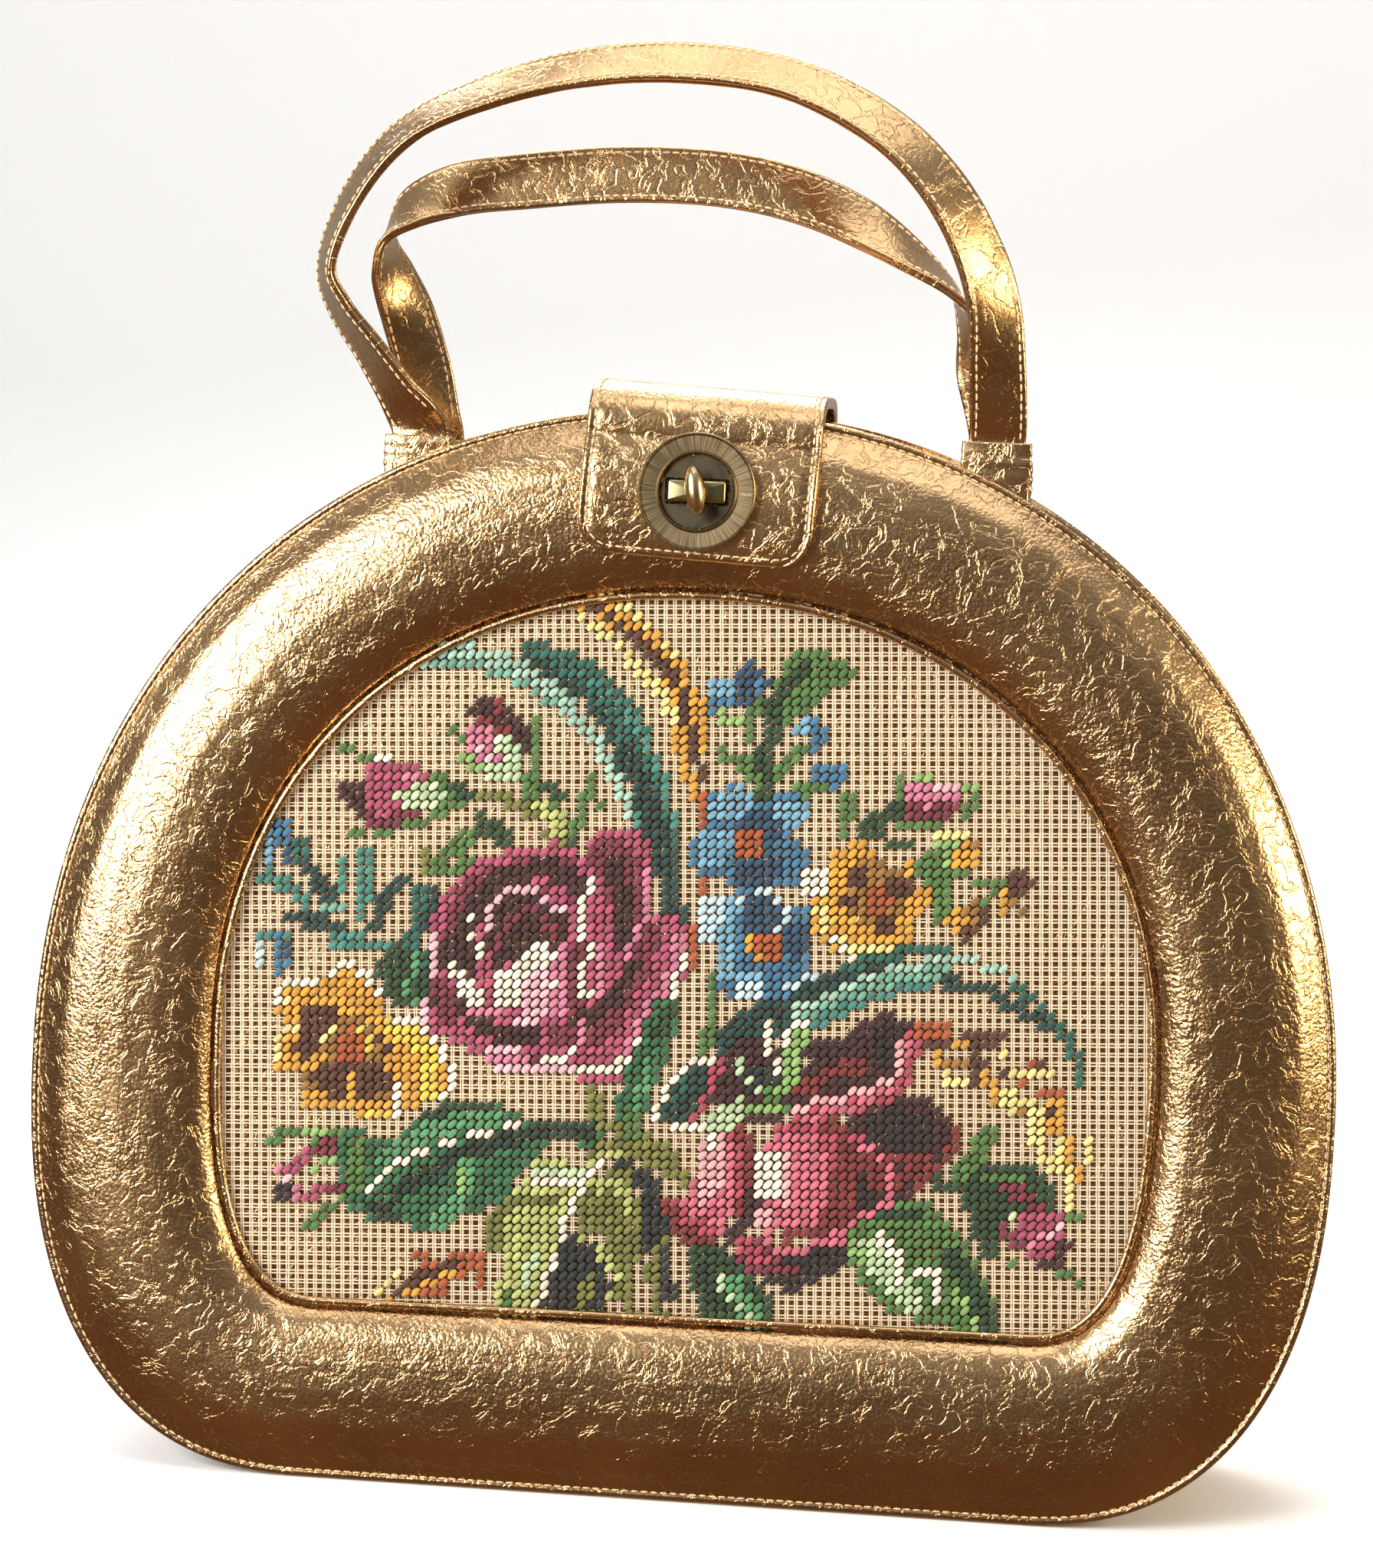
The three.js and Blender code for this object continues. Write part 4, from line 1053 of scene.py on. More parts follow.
# The blade at the right and its pale edge
blot("deep_teal", (852, 770), (872, 728), (920, 692), (962, 688), (1004, 662), (950, 762), (936, 800))
stroke("deep_teal", 24, (1000, 680), (1050, 655), (1112, 640))
stroke("teal", 16, (1058, 638), (1120, 621), (1180, 609), (1216, 606))
stroke("light_teal", 30, (985, 724), (1100, 667), (1212, 642))
stroke("mid_teal", 14, (1000, 734), (1060, 704), (1130, 676), (1190, 664))
stroke("pale_teal", 14, (980, 706), (1040, 681), (1095, 653), (1160, 634), (1240, 624), (1290, 633),
       (1326, 651))
stroke("deep_teal", 22, (1226, 661), (1280, 669), (1320, 691), (1356, 713))
stroke("teal", 18, (1332, 662), (1370, 696), (1405, 736), (1426, 780), (1431, 814))
stroke("deep_teal", 14, (1346, 706), (1386, 727))

# The stems and blades in the middle
stroke("green", 50, (775, 712), (756, 762), (732, 820), (716, 862))
stroke("leaf_green", 20, (746, 782), (736, 830), (722, 880))
stroke("dark_green", 24, (786, 700), (766, 742))
stroke("mid_green", 20, (850, 662), (845, 712), (836, 766))
stroke("olive", 24, (655, 832), (670, 930))
stroke("mid_green", 22, (720, 872), (716, 912))
blot("deep_teal", (800, 808), (774, 850), (768, 888), (822, 888), (856, 800))
stroke("cream", 13, (846, 782), (806, 798), (762, 856), (758, 876))
stroke("teal", 14, (802, 820), (786, 852))
stroke("olive", 28, (660, 936), (700, 930), (760, 946), (800, 972))
stroke("olive", 20, (690, 892), (700, 922))
stroke("olive", 22, (736, 916), (790, 942))
stroke("pale_olive", 13, (668, 938), (700, 942))

# The half-open rose
blot("maroon", (994, 740), (1048, 752), (1104, 714), (1162, 724), (1150, 798), (978, 866), (964, 850),
     (980, 820), (998, 786))
blot("black", (1118, 728), (1160, 728), (1150, 792), (1118, 800), (1104, 770))
stroke("crimson", 26, (990, 836), (1018, 816), (1050, 800), (1078, 796))
blot("maroon", (1050, 884), (1102, 862), (1164, 834), (1204, 846), (1236, 914), (1166, 1000), (1060, 1000),
     (1040, 940))
blot("black", (1102, 868), (1160, 862), (1192, 890), (1186, 922), (1120, 922), (1090, 900))
stroke("crimson", 14, (1232, 882), (1234, 916), (1210, 946))
blot("crimson", (1130, 930), (1180, 925), (1205, 945), (1182, 986), (1150, 995), (1128, 965))
stroke("maroon", 12, (1150, 950), (1160, 985))
blot("crimson", (1074, 922), (1100, 930), (1124, 960), (1122, 990), (1100, 985))
stroke("black", 22, (1072, 948), (1084, 1000), (1108, 1008))
stroke("coral", 13, (1086, 918), (1124, 944), (1136, 1004), (1084, 1030))
stroke("red_pink", 14, (1054, 902), (1094, 906))
stroke("red_pink", 32, (988, 872), (1085, 850), (1127, 834), (1158, 812))
stroke("pale_coral", 14, (984, 862), (1085, 832), (1127, 816), (1150, 792), (1152, 762))
stroke("coral", 14, (1000, 876), (1050, 862), (1100, 846), (1140, 826))
stroke("red_pink", 16, (1166, 800), (1170, 770), (1168, 738))
stroke("coral", 12, (1156, 790), (1160, 755))
blot("crimson", (1028, 884), (1062, 898), (1080, 950), (1070, 1050), (1012, 1062), (960, 1074),
     (1010, 1040))
stroke("red_pink", 13, (1045, 910), (1050, 980))
blot("coral", (953, 896), (1016, 892), (1036, 956), (1028, 1012), (1010, 1052), (928, 1036), (922, 944))
stroke("red_pink", 15, (955, 896), (1012, 894), (1036, 930))
blot("cream", (922, 934), (974, 930), (970, 962), (950, 1002), (918, 1012))
stroke("pale_coral", 16, (930, 1016), (930, 1040))
stroke("pale_coral", 14, (975, 930), (960, 1020))
blot("coral", (842, 900), (900, 920), (886, 1024), (854, 1066), (818, 1082), (770, 1010), (804, 1002),
     (822, 954))
blot("pale_coral", (838, 904), (868, 902), (872, 950), (858, 1000), (830, 1012), (826, 960))
stroke("cream", 12, (846, 908), (838, 950))
stroke("crimson", 20, (890, 890), (908, 930), (898, 1020))
stroke("red_pink", 15, (882, 905), (894, 940), (890, 1000))
blot("crimson", (766, 1012), (790, 1008), (850, 1062), (838, 1080), (776, 1060))
stroke("red_pink", 18, (790, 1012), (808, 1040), (840, 1055))
stroke("maroon", 24, (912, 1008), (900, 1040), (880, 1066))
stroke("maroon", 20, (885, 880), (950, 880))
blot("maroon", (884, 758), (932, 748), (962, 790), (932, 862), (846, 850))
blot("black_green", (895, 800), (950, 790), (960, 830), (910, 840))
stroke("red_pink", 13, (867, 788), (850, 810), (848, 826), (822, 870), (822, 884))
stroke("cream", 13, (939, 732), (940, 770))
stroke("cream", 12, (954, 784), (956, 802))
stroke("mid_green", 24, (960, 866), (948, 850), (946, 834))
stroke("light_green", 28, (988, 752), (976, 790), (966, 830))
stroke("cream", 13, (972, 756), (976, 738), (996, 722))
for across, down in ((891, 795), (911, 812), (926, 830), (898, 848), (884, 860)):
    spot("pale_green", across, down, 9)
stroke("light_green", 14, (900, 868), (960, 864))
blot("pale_green", (846, 866), (900, 862), (896, 880), (868, 902), (846, 898))
stroke("cream", 12, (782, 892), (836, 890))
blot("burgundy", (930, 1060), (948, 1090), (1010, 1128), (905, 1124), (880, 1094))
stroke("red_pink", 30, (905, 1080), (925, 1100))
blot("black", (945, 1090), (1060, 1082), (1056, 1110), (1000, 1146), (950, 1146), (935, 1130), (985, 1120))
stroke("coral", 14, (940, 1064), (948, 1080), (1002, 1082), (1076, 1042))
stroke("coral", 24, (1040, 1066), (1072, 1056))
stroke("crimson", 13, (962, 1064), (1014, 1062))

# The ear of wheat at the right
stroke("rust", 26, (1180, 740), (1216, 736))
stroke("dark_brown", 14, (1196, 756), (1242, 766))
stroke("golden", 20, (1204, 776), (1226, 796))
stroke("pale_yellow", 18, (1216, 806), (1246, 816))
stroke("dark_brown", 26, (1262, 746), (1302, 748))
stroke("golden", 14, (1226, 750), (1250, 752))
stroke("dark_brown", 22, (1270, 766), (1276, 820))
stroke("brown_gold", 20, (1232, 790), (1258, 792))
stroke("pale_yellow", 14, (1304, 766), (1322, 778))
stroke("golden", 22, (1286, 806), (1306, 846))
stroke("dark_brown", 18, (1316, 802), (1366, 792))
stroke("rust", 14, (1345, 822), (1355, 784))
stroke("pale_yellow", 14, (1334, 804), (1386, 802))
stroke("pale_yellow", 30, (1312, 842), (1350, 856), (1370, 882))
stroke("brown_gold", 12, (1320, 850), (1350, 868))
stroke("rust", 20, (1368, 836), (1406, 836))
stroke("golden", 30, (1396, 852), (1400, 896))
stroke("dark_brown", 12, (1390, 866), (1398, 886))
stroke("pale_yellow", 24, (1362, 882), (1372, 926), (1386, 946))
stroke("pale_yellow", 22, (1406, 912), (1420, 1006))
stroke("golden", 15, (1424, 905), (1426, 976))
stroke("pale_yellow", 14, (1441, 905), (1443, 936))

# The left pansy
blot("golden", (134, 700), (160, 664), (226, 664), (246, 638), (312, 680), (320, 714), (418, 776),
     (424, 830), (402, 860), (362, 864), (290, 886), (250, 872), (204, 874), (178, 856), (184, 816),
     (134, 808), (146, 736))
stroke("yellow", 34, (332, 740), (370, 762), (394, 802), (388, 842))
stroke("cream", 14, (138, 706), (150, 680), (175, 662), (200, 672))
stroke("pale_yellow", 14, (152, 700), (168, 690))
stroke("cream", 14, (234, 650), (256, 640), (286, 655), (308, 686))
stroke("pale_yellow", 16, (138, 790), (146, 756), (166, 738))
stroke("cream", 14, (332, 722), (362, 730), (392, 750), (416, 785), (422, 830), (406, 852))
stroke("cream", 12, (342, 830), (336, 870), (316, 886))
stroke("yellow", 14, (286, 876), (322, 876))
blot("dark_brown", (190, 704), (236, 710), (240, 736), (210, 792), (168, 776), (184, 744))
spot("brown_gold", 262, 772, 52)
stroke("brown_gold", 30, (195, 825), (320, 835))
blot("dark_brown", (198, 806), (300, 796), (322, 815), (318, 842), (285, 850), (222, 846))
spot("rust", 264, 768, 27)
stroke("golden", 12, (262, 812), (262, 852))
stroke("golden", 13, (186, 800), (214, 788))
stroke("dark_brown", 14, (300, 760), (330, 775))
stroke("pale_yellow", 11, (222, 758), (235, 735))
stroke("yellow", 11, (278, 738), (292, 770))

# The bud at the lower left
stroke("mid_green", 20, (125, 920), (165, 906), (215, 916), (246, 906))
stroke("light_green", 12, (188, 906), (224, 913))
stroke("burgundy", 22, (255, 926), (220, 931), (190, 946))
stroke("rose", 24, (192, 946), (166, 966))
stroke("pink", 20, (140, 966), (160, 986), (172, 1006))
stroke("pale_pink", 12, (150, 986), (166, 991))
spot("black", 146, 1009, 18)
stroke("light_green", 18, (250, 941), (216, 956), (196, 976))
stroke("burgundy", 20, (250, 991), (216, 1001))
stroke("rose", 20, (216, 1001), (186, 1016))
stroke("mid_green", 16, (188, 1063), (236, 1021), (256, 1006))

# The large green leaf
blot("green", (252, 912), (333, 914), (369, 884), (420, 862), (500, 854), (542, 878), (655, 882),
     (664, 926), (640, 936), (614, 914), (564, 938), (508, 1014), (476, 1028), (425, 1042), (384, 1070),
     (355, 1054), (285, 1042), (252, 1012))
stroke("mid_green", 26, (268, 925), (272, 995))
stroke("leaf_green", 34, (322, 950), (385, 908), (440, 888), (500, 884))
stroke("dark_green", 18, (385, 880), (440, 862), (490, 862))
stroke("deep_green", 26, (340, 1002), (400, 968), (470, 930), (560, 906), (645, 898))
stroke("leaf_green", 30, (448, 962), (440, 1008), (402, 1050))
stroke("light_green", 12, (450, 958), (442, 1005))
stroke("deep_green", 20, (290, 1030), (330, 1036))
stroke("cream", 13, (288, 1002), (320, 970), (365, 941), (420, 923), (470, 906), (500, 900), (546, 886))

# The pale olive leaf and the dark ground behind it
blot("black_green", (608, 1060), (640, 1072), (668, 1106), (684, 1150), (664, 1206), (560, 1206),
     (590, 1120))
stroke("black_green", 34, (706, 962), (744, 990), (755, 1040), (760, 1090), (776, 1160))
blot("olive", (671, 968), (712, 966), (736, 1056), (730, 1106), (700, 1132), (668, 1066), (634, 1072),
     (632, 1026), (650, 984))
stroke("pale_olive", 22, (664, 988), (700, 986), (716, 1022))
for across, down in ((640, 1074), (665, 1094), (682, 1110), (692, 1134), (686, 1156)):
    spot("pale_olive", across, down, 9)
stroke("olive", 22, (652, 1140), (640, 1170), (650, 1204))
stroke("olive", 22, (716, 1122), (706, 1162), (722, 1204))
stroke("olive", 18, (766, 1076), (750, 1122), (766, 1204))
blot("pale_olive", (676, 938), (640, 954), (560, 948), (544, 976), (484, 1088), (514, 1102), (502, 1150),
     (502, 1208), (560, 1208), (614, 1046), (668, 966))
stroke("olive", 26, (520, 1014), (498, 1050), (494, 1084))
stroke("olive", 13, (540, 1010), (590, 1012))
stroke("mid_green", 24, (514, 1172), (520, 1202))
stroke("pale_green", 30, (566, 974), (626, 970))
stroke("cream", 13, (670, 944), (642, 986), (614, 1040), (600, 1086), (558, 1202))
stroke("cream", 12, (560, 988), (622, 988))
stroke("pale_green", 20, (560, 1110), (545, 1150))

# The rust and gold sprig at the bottom
stroke("rust", 16, (364, 1103), (410, 1113), (476, 1095))
stroke("rust", 22, (380, 1122), (430, 1126), (470, 1106))
stroke("dark_brown", 20, (345, 1162), (380, 1136), (420, 1120))
stroke("golden", 13, (318, 1179), (430, 1128))
stroke("pale_yellow", 15, (306, 1161), (336, 1136))
stroke("rust", 16, (386, 1166), (420, 1151))
stroke("rust", 14, (466, 1116), (468, 1146))

# The leaf at the bottom, right of the middle
blot("dark_green", (808, 1084), (850, 1078), (886, 1110), (944, 1170), (942, 1216), (860, 1218),
     (824, 1180))
stroke("leaf_green", 40, (880, 1142), (905, 1182), (915, 1206))
stroke("pale_green", 12, (860, 1126), (870, 1150), (886, 1176))
stroke("pale_green", 12, (896, 1172), (906, 1206))
stroke("deep_green", 14, (830, 1110), (850, 1160))

# The leaf at the lower right
blot("mid_green", (1074, 1054), (1110, 1028), (1163, 1006), (1202, 1018), (1248, 1066), (1280, 1118),
     (1306, 1178), (1310, 1240), (1268, 1244), (1216, 1200), (1150, 1190), (1118, 1168), (1060, 1092))
stroke("pale_green", 40, (1088, 1082), (1170, 1162))
stroke("light_green", 20, (1075, 1075), (1085, 1105))
stroke("cream", 20, (1116, 1066), (1142, 1092), (1152, 1132))
stroke("cream", 15, (1180, 1112), (1214, 1130), (1206, 1168))
stroke("dark_green", 34, (1232, 1092), (1266, 1142), (1302, 1240))
stroke("light_green", 16, (1236, 1152), (1264, 1192), (1276, 1238))
stroke("dark_green", 14, (1120, 1032), (1180, 1030))

# The bud at the lower right and its leaves
stroke("mid_green", 30, (1286, 896), (1270, 936), (1242, 966))
stroke("dark_green", 18, (1204, 976), (1250, 981))
blot("dark_green", (1248, 976), (1290, 948), (1350, 948), (1392, 974), (1397, 1016), (1350, 1022),
     (1312, 1040), (1306, 1092), (1278, 1092), (1260, 1040))
stroke("mid_green", 16, (1285, 965), (1345, 962))
stroke("burgundy", 24, (1320, 986), (1350, 996), (1376, 1020))
blot("rose", (1334, 1036), (1370, 1014), (1416, 1020), (1412, 1060), (1396, 1086), (1360, 1092))
stroke("pale_pink", 20, (1380, 1062), (1406, 1041))
stroke("pink", 16, (1350, 1076), (1378, 1052))
stroke("burgundy", 20, (1312, 1050), (1336, 1070))
stroke("maroon", 18, (1414, 1066), (1402, 1096), (1380, 1102))
stroke("pale_green", 12, (1320, 1026), (1346, 1036))
stroke("mid_green", 14, (1410, 1020), (1440, 1036))
stroke("mid_green", 14, (1400, 1111), (1430, 1126))
stroke("mid_green", 13, (1320, 1106), (1350, 1111))

chart[~in_window] = -1
worked = chart >= 0


def wool_material():
    """Wool yarn, soft and matt, with twisted plies, fine fluff and painted shade between the plies."""
    material, tree, shader = new_material("wool_yarn")
    dye = node(tree, "ShaderNodeAttribute", attribute_name="dye").outputs["Color"]
    shade = node(tree, "ShaderNodeAttribute", attribute_name="shade").outputs["Fac"]
    start = node(tree, "ShaderNodeTexCoord").outputs["Object"]
    slant = node(tree, "ShaderNodeMapping", {"Vector": start, "Rotation": (0, math.radians(50), 0),
                                             "Scale": (900, 900, 2600)})
    plies = node(tree, "ShaderNodeTexNoise", {"Vector": slant.outputs[0], "Scale": 1, "Detail": 3})
    fluff = node(tree, "ShaderNodeTexNoise", {"Vector": start, "Scale": 3500, "Detail": 2})
    darkest = 0.6
    lightest = 0.92
    light = between(tree, shade, 0, 1, darkest, lightest)
    # Painted shade: each stitch's random tone is darkened in the ply grooves and lightened on their crests.
    stitch_tone_and_ply_shade = calculate(tree, "MULTIPLY", light, between(tree, plies.outputs[0], 0.3, 0.7, 0.72, 1.2))
    grey = node(tree, "ShaderNodeCombineColor", {0: stitch_tone_and_ply_shade, 1: stitch_tone_and_ply_shade, 2: stitch_tone_and_ply_shade}).outputs[0]
    tone = node(tree, "ShaderNodeMix", {"Factor": 1.0, 6: dye, 7: grey}, data_type="RGBA",
                blend_type="MULTIPLY")
    height = calculate(tree, "ADD", plies.outputs[0], calculate(tree, "MULTIPLY", fluff.outputs[0], 0.5))
    set_inputs(shader, {"Base Color": tone.outputs[2], "Roughness": 0.75, "Sheen Weight": 0.15,
                        "Normal": bump(tree, height, 0.00016)})
    return material


wool_yarn = wool_material()
wool_stitch = {"half_length": 1.62, "half_width": 0.98, "half_height": 0.85, "rings": 4, "sides": 8}
wool_rise = 0.2
stitch = stitch_unit("wool_unit", **wool_stitch)
stitch_lean = math.radians(48)
stitch_out = canvas_front + wool_rise


def linear(value):
    """A colour value from 0 to 255 as a share of light."""
    value /= 255
    return ((value + 0.055) / 1.055) ** 2.4 if value > 0.04045 else value / 12.92


dyes = np.array([[linear(v) for v in wool_shades[name]] + [1] for name in shade_names])
middle_column = chart_columns // 2
halves = (("wool_left", grid_columns < middle_column), ("wool_right", grid_columns >= middle_column))
for name, half in halves:
    mask = worked & half
    wool = point_object(name, mask, stitch_out)
    attribute = wool.data.attributes.new("dye", "FLOAT_COLOR", "POINT")
    attribute.data.foreach_set("color", dyes[chart[mask]].ravel())
    run_tree(wool, set_on_points, {"Unit": stitch, "Finish": wool_yarn, "Lean": stitch_lean,
                                   "Uneven Turn": 0.12, "Uneven Size": 0.06})
    wool.data.transform(panel_matrix)
    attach(wool, "bag")
bpy.data.objects.remove(stitch)

# A crossing is left out of the canvas where wool hides it on every side.
hidden = worked.copy()
for axis in (0, 1):
    for step in (-1, 1):
        hidden &= np.roll(worked, step, axis=axis)
open_cells = in_window & ~hidden
threads = {
    "canvas_warp": thread_unit("warp_unit", **warp_pair),
    "canvas_weft": thread_unit("weft_unit", **weft_pair),
}
for name, unit in threads.items():
    piece = point_object(name, open_cells, canvas_front - thread_depth)
    run_tree(piece, set_on_points, {"Unit": unit, "Finish": cotton_thread, "Lean": thread_lean,
                                    "Uneven Turn": 0.01, "Uneven Size": 0.0})
    piece.data.transform(panel_matrix)
    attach(piece, "bag")
    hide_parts("canvas")
    bpy.data.objects.remove(unit)


# Gusset: one strip of leather round the sides and the base, turned out into a flange that is
# sewn to both panels. It folds in towards the mouth and sags to the ground along the base.
gusset_thickness = 1.8
flange_width = 4.6
gusset_shoulder = 8
strip_steps = 5
gusset_fold = 13
fold_start = 90
base_corner_height = 26
mouth_half_width = 93


def smooth_step(value, low, high):
    """A smooth rise from 0 to 1 between two values."""
    share = np.clip((value - low) / (high - low), 0, 1)
    return share * share * (3 - 2 * share)


def left_normals(line):
    """Unit normals to the left of an open line."""
    along = np.gradient(line, axis=0)
    along /= np.linalg.norm(along, axis=1, keepdims=True)
    return np.stack([-along[:, 1], along[:, 0]], axis=1)


mouth_share = mouth_half_width / panel["half_width"]
mouth_end = math.acos(mouth_share ** (panel["top_power"] / 2))
gusset_right = half_outline(panel, mouth_end, 48, 64)
gusset_base = np.stack([np.linspace(-1, 1, 25)[1:-1] * panel["base_half"], np.zeros(23)], axis=1)
gusset_line = np.concatenate([mirrored(gusset_right), gusset_base, gusset_right])
gusset_normals = left_normals(gusset_line)
gusset_end_height = gusset_right[-1, 1]
gusset_walk = walked(gusset_line)
half_wall = gusset_thickness / 2
gusset_loops = []
gusset_across = []
for point, normal in zip(gusset_line, gusset_normals):
    width = 2 * (foot_half_depth - point[1] * math.sin(panel_lean))
    sag = 1 - smooth_step(point[1], 0, base_corner_height)
    fold = gusset_fold * smooth_step(point[1], fold_start, gusset_end_height)
    wall = flange_width + (half_wall - flange_width) * sag
    near = [(seat_gap, half_wall), (flange_width, half_wall), (wall + fold * 0.15, gusset_shoulder)]
    far = [(inset, width - depth) for inset, depth in near[::-1]]
    strip = curved(near + [(wall + fold, width / 2)] + far, False, strip_steps)
    side = left_normals(strip) * half_wall
    around = np.concatenate([strip + side, (strip - side)[::-1]])
    around[:, 0] = np.maximum(around[:, 0], 0.02)
    at = point + normal * around[:, :1]
    share = around[:, 1:] / width
    front = on_bag(at[:, 0], at[:, 1], 0, -1)
    back = on_bag(at[:, 0], at[:, 1], 0, 1)
    gusset_loops.append(front + (back - front) * share)
    gusset_across.append(around[:, 1])
gusset_piece = solid_from_loops("gusset_leather", np.array(gusset_loops), "fan")
gusset_across = np.array(gusset_across)
lay_uv(gusset_piece, (gusset_walk[:, None] + 0 * gusset_across) * millimetre, gusset_across * millimetre)
gusset_piece.data.materials.append(foil_material("gusset_foil", crackle_depth=0.00005))
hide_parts("gusset")
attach(gusset_piece, "bag")


# Tab: two layers of leather sewn together near the edge. It is sewn to the back pad, bends over
# the mouth and is slit for the lock's bar.
tab_width = 64
tab_thickness = 3.2
tab_corner_radius = 10
tab_clear = 2.7
tab_seat = 0.8
tab_turn = math.radians(2.6)
tab_end_across = 0.84
tab_back_end_across = 0.62
lock_across = 0.4737
lock_slot = (18, 7.2)
border_top = panel["height"] - window_above_base - window["height"]
lock_height = panel["height"] - lock_across * border_top
lock_out = pad_rise + tab_seat + tab_thickness + seat_gap
lock_place = on_bag(0, lock_height, lock_out) / millimetre


def over_border(share):
    """The tab's underside over the pad, in side view, at a share of the border's width."""
    rise = np.interp(share, [row["across"] for row in pad_rows], [row["rise"] for row in pad_rows])
    point = on_bag(0, panel["height"] - share * border_top, rise * pad_rise + tab_seat, 1)
    return point[..., 1:] / millimetre


def tab_underside():
    """The line under the tab in side view, from its free end to its sewn end."""
    last = 0.2
    steps = 14
    bend_steps = 22
    foot = over_border(np.array(last))
    top = panel["height"] * math.cos(panel_lean) + tab_clear
    flat_half = 0.3 * foot[0]
    squareness = 3
    t = np.linspace(0, math.pi / 2, bend_steps + 1)[1:]
    y = flat_half + (foot[0] - flat_half) * np.clip(np.cos(t), 0, 1) ** (2 / squareness)
    z = foot[1] + (top - foot[1]) * np.sin(t) ** (2 / squareness)
    bend = np.stack([y, z], axis=1)
    front = np.concatenate([over_border(np.linspace(tab_end_across, last, steps)), bend])
    back = np.concatenate([over_border(np.linspace(tab_back_end_across, last, steps)), bend])
    return np.concatenate([front * (-1, 1), back[::-1]])


tab_under = tab_underside()
tab_walk = walked(tab_under)
tab_normals = left_normals(tab_under)
tab_length = tab_walk[-1]
tab_rotation = np.array(Matrix.Rotation(tab_turn, 3, "Y")).T


def on_tab(across, distance, height):
    """Points on the tab, in metres: across it, along it from its free end, and over its underside."""
    across, distance, height = np.broadcast_arrays(across, distance, height)
    line, out = (np.stack([np.interp(distance, tab_walk, row[:, axis]) for axis in (0, 1)], axis=-1)
                 for row in (tab_under, tab_normals))
    raised = line + out * height[..., None]
    flat = np.stack([across, raised[..., 0], raised[..., 1] - lock_place[2]], axis=-1)
    return (flat @ tab_rotation + (0, 0, lock_place[2])) * millimetre


def corner_cut(from_end, radius):
    """How far a rounded corner draws the edge in, at a distance from the end."""
    near = min(max(from_end, 0), radius)
    return radius - math.sqrt(radius ** 2 - (radius - near) ** 2)


def tab_piece():
    """The tab's loops, one round its section at each station along it."""
    corner = tab_corner_radius * (1 - np.cos(np.linspace(0, math.pi / 2, 14)))
    straight = np.linspace(tab_corner_radius, tab_length - tab_corner_radius, 190)[1:-1]
    stations = np.concatenate([corner, straight, (tab_length - corner)[::-1]])
    edge_reach = np.array([0, 0.12, 0.35, 0.75, 1.3, 2.2, 3.2])
    edge_height = np.array([0.5, 0.78, 0.93, 1.0, 0.98, 0.88, 1.0])
    loops = []
    ups = []
    flat_x = []
    for distance in stations:
        from_end = min(distance, tab_length - distance)
        half = tab_width / 2 - corner_cut(from_end, tab_corner_radius)
        edge_lift = np.interp(from_end, [0, 0.5, 1.2, 2.2, 3.4], [0.62, 0.9, 1.0, 0.95, 1.0])
        inner_x = np.linspace(-half + 5, half - 5, 22)
        x = np.concatenate([-half + edge_reach, inner_x, (half - edge_reach)[::-1]])
        lift = np.concatenate([edge_height, np.ones(22), edge_height[::-1]])
        dent = leather_noise(np.full(x.shape, distance), x, 16, 13, 4.4) * 0.16
        outer = tab_thickness * (1 - (1 - lift) - (1 - edge_lift)) + dent * (lift > 0.9)
        inner = tab_thickness * (1 - lift)
        both_x = np.concatenate([x, x[::-1]])
        both_out = np.concatenate([outer, inner[::-1]])
        loops.append(on_tab(both_x, distance, both_out))
        flat_x.append(both_x)
        ups.append(np.full(len(both_x), distance))
    made = solid_from_loops("tab_leather", np.array(loops), "fan")
    lay_uv(made, np.array(flat_x) * millimetre, np.array(ups) * millimetre)
    return made


tab_leather = tab_piece()
slot_half = np.array([lock_slot[0] / 2, 4 * tab_thickness, lock_slot[1] / 2]) * millimetre
slot_corners = np.array([(x, y, z) for x in (-1, 1) for y in (-1, 1) for z in (-1, 1)]) * slot_half
slot_turn = np.array(Matrix.Rotation(-panel_lean, 3, "X")).T
slot_points = slot_corners @ slot_turn + lock_place * millimetre
slot_faces = [(0, 1, 3, 2), (4, 6, 7, 5), (0, 4, 5, 1), (2, 3, 7, 6), (0, 2, 6, 4), (1, 5, 7, 3)]
slot_cutter = new_object("slot_cutter", slot_points, slot_faces)
cut = tab_leather.modifiers.new("slot", "BOOLEAN")
cut.operation = "DIFFERENCE"
cut.object = slot_cutter
cut.solver = "EXACT"
keep_result(tab_leather)
bpy.data.objects.remove(slot_cutter)
tab_foil = foil_material("tab_foil", crackle_depth=0.00008, crackle_size=0.0013, darker=0.1)
tab_leather.data.materials.append(tab_foil)
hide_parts("tab")
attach(tab_leather, "bag")

tab_seam = 2.2
seam_height = 0.94 * tab_thickness
seam_stations = np.linspace(tab_seam, tab_length - tab_seam, 180)
seam_corner = tab_corner_radius - tab_seam
seam_half = np.array([tab_width / 2 - tab_seam - corner_cut(min(at, tab_length - at) - tab_seam, seam_corner)
                      for at in seam_stations])
left_row = on_tab(-seam_half[::-1], seam_stations[::-1], seam_height)
right_row = on_tab(seam_half, seam_stations, seam_height)
sewn_rows("tab_stitches", [np.concatenate([left_row, right_row])])


